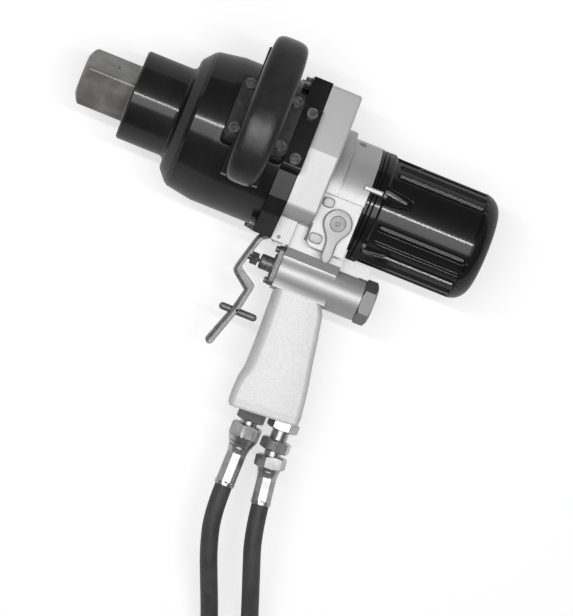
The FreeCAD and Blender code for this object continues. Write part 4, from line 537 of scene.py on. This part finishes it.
def loop_rings(around=48):
    """A bar between two curves. The outer is half an ellipse on feet that tuck in by a parabola, and the inner is
    half a superellipse of power 3 on straight legs. Across the bar the section is a superellipse, of power 3.2
    outside and 4 inside, and its width swells with the power 0.7 of the sine of the angle along the loop."""
    foot = np.linspace(0, 1, 8)[:-1]
    a = np.linspace(0, math.pi, 81)
    legs = LOOP_BASE + (LOOP_WAIST - LOOP_BASE) * foot
    inner_half, inner_rise = LOOP_HALF - LOOP_BAR + 0.003, LOOP_REACH - LOOP_BAR - LOOP_WAIST
    arch = np.sign(np.cos(a)) * np.abs(np.cos(a)) ** (2 / 3)
    outer = np.concatenate([np.stack([LOOP_HALF - LOOP_TUCK * (1 - foot) ** 2, legs], 1),
                            np.stack([LOOP_HALF * np.cos(a), LOOP_WAIST + (LOOP_REACH - LOOP_WAIST) * np.sin(a)], 1)])
    inner = np.concatenate([np.stack([np.full(len(foot), inner_half), legs], 1),
                            np.stack([inner_half * arch, LOOP_WAIST + inner_rise * np.sin(a) ** (2 / 3)], 1)])
    outer, inner = (np.concatenate([edge, edge[:len(foot)][::-1] * (-1, 1)]) for edge in (outer, inner))
    swell = np.concatenate([0 * foot, np.sin(a) ** 0.7, 0 * foot])
    half = (LOOP_NARROW + (LOOP_WIDE - LOOP_NARROW) * swell) / 2
    v = np.linspace(0, 2 * math.pi, around, endpoint=False)
    power = np.where(np.cos(v) > 0, 2 / 3.2, 2 / 4)
    out = np.sign(np.cos(v)) * np.abs(np.cos(v)) ** power
    wide = np.sign(np.sin(v)) * np.abs(np.sin(v)) ** power
    middle, reach = (outer + inner) / 2, (outer - inner) / 2
    across = LOOP_X + half[:, None] * wide
    return closed(np.concatenate([across[..., None], middle[:, None] + reach[:, None] * out[:, None]], 2))


def strap_rings():
    """The flat foot of the strap, a rounded rectangle from one leg of the loop to the other."""
    across = box_grid(LOOP_X - STRAP_HALF, LOOP_X + STRAP_HALF, LOOP_BASE, LOOP_BASE + STRAP_THICK,
                      (STRAP_EDGE, STRAP_EDGE), (STRAP_EDGE, STRAP_EDGE))
    run = np.linspace(-1, 1, 3)[:, None] * (LOOP_HALF - LOOP_TUCK)
    return closed(np.stack(np.broadcast_arrays(across[..., 0], run, across[..., 1]), 2))


grip_rubber = Finish("loop_rubber")
grain = grip_rubber.noise(1500, 2, 0.55)
scuff = grip_rubber.noise(30, 5, 0.65)
grip_rubber.set(Base_Color=grip_rubber.mix(scuff.between(0.4, 0.75), grey(38), grey(52)),
                Roughness=scuff * 0.1 + 0.15, Specular_IOR_Level=0.24, Normal=grip_rubber.bump(grain, 0.00012))
skin("loop_cover", [tilted(loop_rings()), tilted(strap_rings())], grip_rubber, "black_rubber", "loop_handle")

# Front plate. Milled from aluminium plate between the hammer case and the motor, with broken edges and a satin
# face. The bolts of the case screw into it.
satin = Finish("machined_aluminium")
mill = satin.noise(700, 3, 0.6, satin.where((1, 0.06, 0.06)))
cloud = satin.noise(40, 3, 0.5)
satin.set(Base_Color=satin.mix(cloud, grey(188), grey(198)), Metallic=0.2, Roughness=mill * 0.15 + 0.4,
          Normal=satin.bump(mill, 0.00003))
eased("front_plate", satin, 0.0006)

# Motor housing with its valve block, gear case and grip. Fine aluminium castings, blasted matt, speckled at a
# glance. The housing and the gear case are skimmed, and the trigger's bracket is left as it was cast.
cast = Finish("cast_aluminium")
sand = cast.noise(1300, 3, 0.65)
fleck = cast.noise(520, 2, 0.5)
cast.set(Base_Color=cast.mix(fleck.between(0.35, 0.65), grey(219), grey(229)), Metallic=0.05,
         Roughness=fleck * 0.1 + 0.42, Normal=cast.bump(sand, 0.00016))
turned_cast = Finish("turned_casting")
skim = turned_cast.noise(900, 3, 0.6)
drift = turned_cast.noise(55, 3, 0.6)
turned_cast.set(Base_Color=turned_cast.mix(drift * 0.5 + skim * 0.5, grey(162), grey(182)), Metallic=0.4,
                Roughness=skim * 0.14 + 0.36, Normal=turned_cast.bump(skim, 0.00008))
eased("motor_housing", turned_cast, 0.0012)
eased("gear_case", turned_cast, 0.0006)
eased("gear_end_plate", turned_cast, 0.0006)
eased("trigger_bracket", cast, 0.0008)

# Rear cover. A deep cap moulded in gloss black with rounded grooves all round, apart from a bare panel, and six
# tapered pockets for the screws that hold it to the housing.
COVER_X, COVER_END = 0.2137, 0.3291
MOTOR_Y = -0.01275
COVER_R, COLLAR_R, COVER_WALL, END_ROUND = 0.0472, 0.0489, 0.0056, 0.016
GROOVE_FROM, GROOVE_TO, GROOVE_HALF, GROOVE_DEEP = 0.2311, 0.3110, 0.0034, 0.0026
GROOVE_PITCH, GROOVE_SHIFT, GROOVE_LEAN = math.radians(15), math.radians(17.5), 0.28
BARE_PANEL = (1, 2, 3)
POCKET_X, POCKET_END, POCKET_FLOOR, POCKET_CROWN = 0.2257, 0.2523, 0.0434, 0.0022
POCKET_PITCH, POCKET_SHIFT = math.radians(60), math.radians(15)
POCKET_HALF, POCKET_TAPER, TAPER_FROM = 0.0072, 0.0034, 0.2302


def step(value, low, high):
    """0 below low and 1 above high, with a smooth cubic in between."""
    t = np.clip((value - low) / (high - low), 0, 1)
    return t * t * (3 - 2 * t)


def cover_profile():
    """Places along the cover and its radius there: a ribbed collar, a barrel and a quarter circle at the end. The
    places lie closer where the pockets and the grooves begin and end."""
    ribs = [(0, -0.0008), (0.0006, 0), (0.0026, 0), (0.0034, -0.0008), (0.0042, 0), (0.0062, 0), (0.0070, -0.0008),
            (0.0078, 0)]
    collar = [(COVER_X + x, COLLAR_R + r) for x, r in ribs] + [
        (POCKET_X - 0.0002, COLLAR_R), (POCKET_X, COLLAR_R), (POCKET_X + 0.0009, COLLAR_R - 0.0001),
        (POCKET_X + 0.0026, COVER_R)]
    barrel = np.concatenate([np.linspace(POCKET_X + 0.0035, GROOVE_FROM + 0.005, 14),
                             np.linspace(GROOVE_FROM + 0.0065, POCKET_END + 0.001, 22),
                             np.linspace(POCKET_END + 0.003, GROOVE_TO - 0.006, 12),
                             np.linspace(GROOVE_TO - 0.0052, GROOVE_TO + 0.0006, 12)])
    arc = np.linspace(0, math.pi / 2, 12)
    shoulder = np.stack([COVER_END - 0.019 + END_ROUND * np.sin(arc),
                         COVER_R - END_ROUND + END_ROUND * np.cos(arc)], 1)
    end = [(COVER_END - 0.0014, 0.0200), (COVER_END - 0.0003, 0.0085), (COVER_END, 0.0)]
    return np.concatenate([collar, np.stack([barrel, np.full(len(barrel), COVER_R)], 1), shoulder, end])


def cover_rings(count=720):
    """The radius over the place along the axis and the angle round it. Each groove takes its depth off the profile
    inside a band round its middle line, a little more on the side towards the bare panel. Each pocket goes down to
    a floor crowned by a parabola, inside a tapered outline with a square front wall."""
    x, base = cover_profile().T[..., None]
    turn = np.linspace(0, 2 * math.pi, count, endpoint=False)[None]
    groove_at = (turn + GROOVE_SHIFT) / GROOVE_PITCH
    nearest = np.round(groove_at)
    off = (groove_at - nearest) * GROOVE_PITCH * COVER_R
    past = np.maximum(0, np.maximum(GROOVE_FROM + GROOVE_HALF - x, x - GROOVE_TO + GROOVE_HALF))
    groove = 1 - step(np.hypot(past, off), GROOVE_HALF - 0.0020, GROOVE_HALF + 0.0003)
    groove = groove * ~np.isin(nearest.astype(int) % 24, BARE_PANEL)
    lean = 1 - GROOVE_LEAN * np.sign(np.sin(turn)) * off / GROOVE_HALF
    radius = base - GROOVE_DEEP * groove * lean * (x > GROOVE_FROM - 0.001) * (x < GROOVE_TO + 0.001)
    pocket_at = (turn - POCKET_SHIFT) / POCKET_PITCH
    off = np.abs(pocket_at - np.round(pocket_at)) * POCKET_PITCH * COVER_R
    half = POCKET_HALF - POCKET_TAPER * np.clip((x - TAPER_FROM) / (POCKET_END - TAPER_FROM), 0, 1)
    pocket = (1 - step(off, half - 0.0007, half + 0.0005)) * (x > POCKET_X + 0.0001) * (x < POCKET_END)
    floor = POCKET_FLOOR + POCKET_CROWN * np.minimum(off / half, 1) ** 2
    floor = floor + (COVER_R - floor) * step(x, POCKET_END - 0.006, POCKET_END)
    radius = np.minimum(radius, base + (floor - base) * pocket)
    rings = np.stack([np.broadcast_to(x, radius.shape), MOTOR_Y + radius * np.sin(turn), radius * np.cos(turn)], 2)
    inner = [(COVER_END - COVER_WALL, 0.0), (COVER_END - COVER_WALL, COVER_R - COVER_WALL - 0.012),
             (COVER_END - COVER_WALL - 0.012, COVER_R - COVER_WALL), (COVER_X, COVER_R - COVER_WALL)]
    inside = np.stack([np.stack([np.full(count, px), MOTOR_Y + r * np.sin(turn[0]), r * np.cos(turn[0])], 1)
                       for px, r in inner])
    return np.concatenate([inside, rings])


gloss = Finish("gloss_black")
ripple = gloss.noise(60, 2, 0.5)
gloss.set(Base_Color=gloss.mix(ripple, grey(12), grey(20)), Roughness=ripple * 0.1 + 0.38, Specular_IOR_Level=0.1,
          Coat_Weight=0.12, Coat_Roughness=0.12, Coat_IOR=2.5, Normal=gloss.bump(ripple, 0.00012))
skin("ribbed_cover", [cover_rings()], gloss, "gloss_black", "rear_cover", crease=40)
eased("cover_screws", oxide, 0.0004)

# Reversing lever. Cast steel, bead blasted, a pear with a slim tail, held by a turned screw with a round washer head.
# It swings between two stop posts on the milled flat of the housing.
LEVER_AT = Vector((0.1988, -0.0371, 0.0448))
LEVER_TIP = Vector((0.2002, -0.0671, 0.0448))
LEVER_THICK, LEVER_HEAD, LEVER_END, LEVER_EDGE = 0.006, 0.0123, 0.0043, 0.0015
NECK_FROM, NECK_TO = 0.0070, 0.0185
STOPS = ((0.1861, -0.0549, 0.0054, 0.0042), (0.1853, -0.0231, 0.0048, 0.0042))
STOP_HIGH, STOP_EDGE, STOP_CORNER = 0.0041, 0.0008, 0.003


def pear_rings(count=64):
    """Rings across a line from the head to the tip. Their half width is a circle's round the head, a cubic that
    draws in to the tail, and a circle's round the tip."""
    long = (LEVER_TIP - LEVER_AT).length
    angle = np.linspace(0, math.pi, count)
    s = (long + LEVER_END - LEVER_HEAD) / 2 - (long + LEVER_END + LEVER_HEAD) / 2 * np.cos(angle)
    t = np.clip((s - NECK_FROM) / (NECK_TO - NECK_FROM), 0, 1)
    wide, slim = math.sqrt(LEVER_HEAD**2 - NECK_FROM**2), LEVER_END + 0.0004
    slope = -NECK_FROM / wide * (NECK_TO - NECK_FROM)
    neck = wide * (2 * t**3 - 3 * t**2 + 1) + slope * (t**3 - 2 * t**2 + t) + slim * (3 * t**2 - 2 * t**3)
    half = np.where(s < NECK_FROM, np.sqrt(np.maximum(LEVER_HEAD**2 - s**2, 0)), neck)
    half = np.where(s > long, np.sqrt(np.maximum(LEVER_END**2 - (s - long) ** 2, 0)), half)
    ease = np.minimum(half, LEVER_EDGE)
    grid = box_grid(-half, half, LEVER_AT.z, LEVER_AT.z + LEVER_THICK, (ease, LEVER_EDGE), (ease, LEVER_EDGE))
    ahead_x, ahead_y = (LEVER_TIP - LEVER_AT).normalized()[:2]
    return np.stack([LEVER_AT.x + s[:, None] * ahead_x - grid[..., 0] * ahead_y,
                     LEVER_AT.y + s[:, None] * ahead_y + grid[..., 0] * ahead_x, grid[..., 1]], 2)


def stop_rings(x, y, half_x, half_y):
    """A low block with round corners, standing on the milled flat, its upper edge eased in a quarter circle."""
    angle = np.linspace(0, math.pi / 2, 5)
    inset = np.concatenate([[0, 0], STOP_EDGE * (1 - np.cos(angle))])
    height = LEVER_AT.z + np.concatenate([[-0.0004, STOP_HIGH], STOP_HIGH + STOP_EDGE * np.sin(angle)])
    grid = box_grid(x - half_x + inset, x + half_x - inset, y - half_y + inset, y + half_y - inset,
                    (STOP_CORNER, STOP_CORNER), (STOP_CORNER, STOP_CORNER))
    return closed(np.concatenate([grid, np.broadcast_to(height[:, None, None], (*grid.shape[:2], 1))], 2))


bright = Finish("blasted_steel")
blast = bright.noise(900, 3, 0.6)
bright.set(Base_Color=bright.mix(blast, grey(146), grey(164)), Metallic=0.3, Roughness=0.42,
           Normal=bright.bump(blast, 0.0001))
turned_steel = Finish("turned_steel")
lathe = turned_steel.noise(300, 3, 0.6)
turned_steel.set(Base_Color=turned_steel.mix(lathe, grey(100), grey(122)), Metallic=0.45,
                 Roughness=lathe * 0.2 + 0.3)
skin("lever_pear", [closed(pear_rings())], bright, "bright_steel", "reversing_lever", body="reversing_lever")
eased("reversing_screw", turned_steel, 0.0003)
skin("stop_blocks", [stop_rings(*stop) for stop in STOPS], bright, "bright_steel", "lever_stops")
eased("housing_plug", turned_steel, 0.0003)

# Trigger lever. A bent steel bar, flat on its sides and rounded towards the fingers, with a window for the catch. It
# turns on the bracket's pin. The stations are pairs of edge points from the pin: the fingers' side, the grip's side.
PIVOT = np.array([0.1579, -0.0653])
HUB_R, TRIGGER_HALF, WINDOW_HALF = 0.0052, 0.011, 0.004
STATIONS = 0.001 * np.array([
    [(0.0, 3.2), (0.6, -2.6)], [(-8.2, 0.2), (-5.2, -4.2)], [(-13.4, -3.2), (-10.0, -7.6)],
    [(-15.9, -7.7), (-11.2, -9.8)], [(-23.4, -36.2), (-18.3, -34.2)], [(-23.4, -41.7), (-17.6, -36.0)],
    [(-8.2, -52.9), (-1.8, -45.7)], [(-8.6, -54.5), (-2.2, -49.7)], [(-11.9, -69.0), (-5.5, -67.7)],
    [(-13.8, -74.7), (-8.2, -75.7)], [(-24.5, -104.2), (-18.1, -106.4)]])
WINDOW_FROM, WINDOW_TO = 6.4, 9.6
FINGER_ROUND, FINGER_RISE, GRIP_EDGE = 0.0034, 0.0045, 0.0005


def trigger_edges(fine=10):
    """The stations joined by straight runs, with the bends eased by a running mean of seven points."""
    u = np.linspace(0, len(STATIONS) - 1, (len(STATIONS) - 1) * fine + 1)
    lines = np.stack([np.interp(u, np.arange(len(STATIONS)), STATIONS[:, side, axis])
                      for side in (0, 1) for axis in (0, 1)], 1)
    padded = np.concatenate([lines[:1]] * 3 + [lines] + [lines[-1:]] * 3)
    lines = sum(padded[k:k + len(lines)] for k in range(7)) / 7
    return u, lines.reshape(-1, 2, 2)


def trigger_tip(last):
    """Pairs of edge points round the end: the middle of the last pair, plus half its width ahead by the sine of an
    angle and to each side by its cosine."""
    angle = np.linspace(0, math.pi / 2, 8)[1:-1]
    half = (last[0] - last[1]) / 2
    forward = np.array([half[1], -half[0]])
    forward *= np.sign(-forward[1])
    return np.stack([last.mean(0) + np.outer(np.sin(angle), forward) + np.outer(np.cos(angle), half) * side
                     for side in (1, -1)], 1)


def trigger_rings(pairs, bottom, top):
    """Sections between the two edges: flat above and below, square to the grip and half an ellipse to the fingers."""
    reach = np.linalg.norm(pairs[:, 0] - pairs[:, 1], axis=1)
    across = (pairs[:, 0] - pairs[:, 1]) / reach[:, None]
    finger = np.minimum(FINGER_ROUND, 0.55 * reach), min(FINGER_RISE, (top - bottom) / 2)
    grid = box_grid(np.zeros(len(reach)), reach, bottom, top, (GRIP_EDGE, GRIP_EDGE), finger)
    flat = PIVOT + pairs[:, 1][:, None] + across[:, None] * grid[..., :1]
    return closed(np.concatenate([flat, grid[..., 1:]], 2))


lever_steel = Finish("lever_steel")
rub = lever_steel.noise(180, 4, 0.6)
lever_steel.set(Base_Color=lever_steel.mix(rub.between(0.3, 0.75), grey(100), grey(132)), Metallic=0.5,
                Roughness=rub * 0.2 + 0.34, Normal=lever_steel.bump(rub, 0.00006))
station, edges = trigger_edges()
station = np.round(station, 3)
beside = (station >= WINDOW_FROM) & (station <= WINDOW_TO)
below = np.concatenate([edges[station >= WINDOW_TO], trigger_tip(edges[-1])])
skin("bent_trigger", [
    closed(spun([(0, HUB_R), (2 * TRIGGER_HALF, HUB_R)], (*PIVOT, -TRIGGER_HALF), (0, 0, 1), count=32)),
    trigger_rings(edges[station <= WINDOW_FROM], -TRIGGER_HALF, TRIGGER_HALF),
    trigger_rings(edges[beside], WINDOW_HALF, TRIGGER_HALF),
    trigger_rings(edges[beside], -TRIGGER_HALF, -WINDOW_HALF),
    trigger_rings(below, -TRIGGER_HALF, TRIGGER_HALF)],
    lever_steel, "black_steel", "trigger_lever", body="trigger")

# Safety catch, pins, adjusting screw, lock nut, and the plate that holds the spool's guide. Black-oxide steel, with
# a turned bushing to guide the spool.
BAR_AT, BAR_R, BAR_LONG = (0.1344, -0.1376, 0.0), 0.0032, 0.0342
PIN_FROM, PIN_R, SHANK_R = -0.0198, 0.003, 0.0016
quarter = np.linspace(0, math.pi / 2, 7)
cap = [(BAR_R - BAR_R * math.cos(angle), BAR_R * math.sin(angle)) for angle in quarter]
bar_rows = cap + [(BAR_LONG - s, r) for s, r in cap[::-1]]
skin("catch_bar", [spun(bar_rows, BAR_AT, (1, 0, 0), count=32)], lever_steel, "black_steel", "safety_catch",
     body="safety_catch")
pin_rows = [(0, PIN_R - 0.0006), (0.0006, PIN_R), (0.0390, PIN_R), (0.0396, PIN_R - 0.0006), (0.0396, SHANK_R),
            (0.0560, SHANK_R), (0.0563, SHANK_R - 0.0003)]
skin("pivot_pin", [closed(spun(pin_rows, (*PIVOT, PIN_FROM), (0, 0, 1), count=32))], oxide, "black_steel",
     "trigger_pivot_pin")
for name, width in (("catch_pin", 0.0003), ("adjusting_screw", 0.0003),
                    ("lock_nut", 0.0004), ("cap_plate", 0.0008), ("cap_screws", 0.0004)):
    eased(name, oxide, width)
eased("spool_bushing", turned_steel, 0.0005)
eased("valve_spool", oxide, 0.0005)

# Hex plug. It closes the spool's bore, forged steel with a dull black-oxide skin. Its spigot goes into the end of
# the valve block.
PLUG_ACROSS, PLUG_HEX, SPIGOT_R, SPIGOT_LONG = 0.034, 0.0123, 0.012, 0.006
VALVE_Y = -0.0901
plug_steel = Finish("plug_oxide")
forge = plug_steel.noise(140, 4, 0.6)
plug_steel.set(Base_Color=plug_steel.mix(forge, grey(98), grey(126)), Metallic=0.35, Roughness=forge * 0.2 + 0.34,
               Normal=plug_steel.bump(forge, 0.00008))
valve_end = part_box("hex_plug")[1].x - PLUG_HEX
hex_rows = [(-SPIGOT_LONG, SPIGOT_R), (0, SPIGOT_R)] + nut(PLUG_ACROSS, PLUG_HEX)
skin("valve_plug", [closed(spun(hex_rows, (valve_end, VALVE_Y, 0), (1, 0, 0)))],
     plug_steel, "black_steel", "hex_plug")

# Grip. A hollow aluminium casting under the valve, flat on its sides, with a bevelled front that the fingers close
# round and a foot cut at four degrees for the two ports.
GRIP_Y = np.array([-0.1056, -0.1140, -0.1340, -0.1520, -0.1710, -0.1780, -0.1880, -0.1980, -0.2030, -0.2095, -0.2110])
GRIP_FRONT = np.array([0.1720, 0.1724, 0.1732, 0.1738, 0.1739, 0.1737, 0.1722, 0.1719, 0.1719, 0.1727, 0.1740])
GRIP_BACK = np.array([0.2146, 0.2192, 0.2232, 0.2264, 0.2302, 0.2315, 0.2330, 0.2342, 0.2350, 0.2348, 0.2340])
GRIP_HALF = np.array([0.0155, 0.0157, 0.0160, 0.0162, 0.0166, 0.0168, 0.0170, 0.0171, 0.0172, 0.0166, 0.0156])
GRIP_BEVEL = np.array([0.0080, 0.0085, 0.0088, 0.0088, 0.0088, 0.0084, 0.0056, 0.0052, 0.0052, 0.0050, 0.0046])
GRIP_BACK_ROUND = (0.0055, 0.010)
FOOT_SLOPE, FOOT_FROM, FOOT_TO = math.tan(math.radians(4)), 0.180, 0.211


def grip_rings(count=90):
    """Sections down the grip, read off the edge lines. The front corners are superellipses near a chamfer, 1.9 times
    as high as they are wide, the back ones are rounder, and the last 30 mm lean into the foot's slope."""
    y = np.interp(np.linspace(0, 1, count) ** 0.8, np.linspace(0, 1, len(GRIP_Y)), GRIP_Y)
    front, back, half, bevel = (np.interp(-y, -GRIP_Y, line)
                                for line in (GRIP_FRONT, GRIP_BACK, GRIP_HALF, GRIP_BEVEL))
    grid = box_grid(front, back, -half, half, (bevel, bevel * 1.9), GRIP_BACK_ROUND, 1.7, 8)
    middle = (GRIP_FRONT[-3] + GRIP_BACK[-3]) / 2
    lean = step(-y, FOOT_FROM, FOOT_TO)[:, None] * FOOT_SLOPE
    return closed(np.stack([grid[..., 0], y[:, None] + (grid[..., 0] - middle) * lean, grid[..., 1]], 2))


skin("cast_grip", [grip_rings()], cast, "cast_silver", "grip", crease=40)

# The works inside: hammers, cage, pins, bearing, gears, shafts and valves in ground steel, bushes and wear plates in
# bronze, seals in black rubber. They show when the tool is taken apart.
ground = Finish("ground_steel")
lay = ground.noise(500, 3, 0.6, ground.where((0.1, 1, 1)))
ground.set(Base_Color=ground.mix(lay, grey(150), grey(176)), Metallic=0.9, Roughness=lay * 0.2 + 0.25)
bronze = Finish("bearing_bronze")
warmth = bronze.noise(120, 3, 0.6)
bronze.set(Base_Color=bronze.mix(warmth, (0.42, 0.27, 0.12, 1), (0.55, 0.38, 0.18, 1)), Metallic=0.9,
           Roughness=warmth * 0.2 + 0.3)
seal = Finish("seal_rubber")
bloom = seal.noise(200, 3, 0.6)
seal.set(Base_Color=seal.mix(bloom, grey(30), grey(44)), Roughness=bloom * 0.2 + 0.45)
INNER_FINISH = {"inner_steel": ground, "bronze": bronze, "seal_rubber": seal, "bright_steel": turned_steel,
                "drive_steel": steel, "zinc": zinc}
for name in node:
    if name != "hammer_case":
        coat(name, INNER_FINISH.get(SLOT_OF[name], oxide))
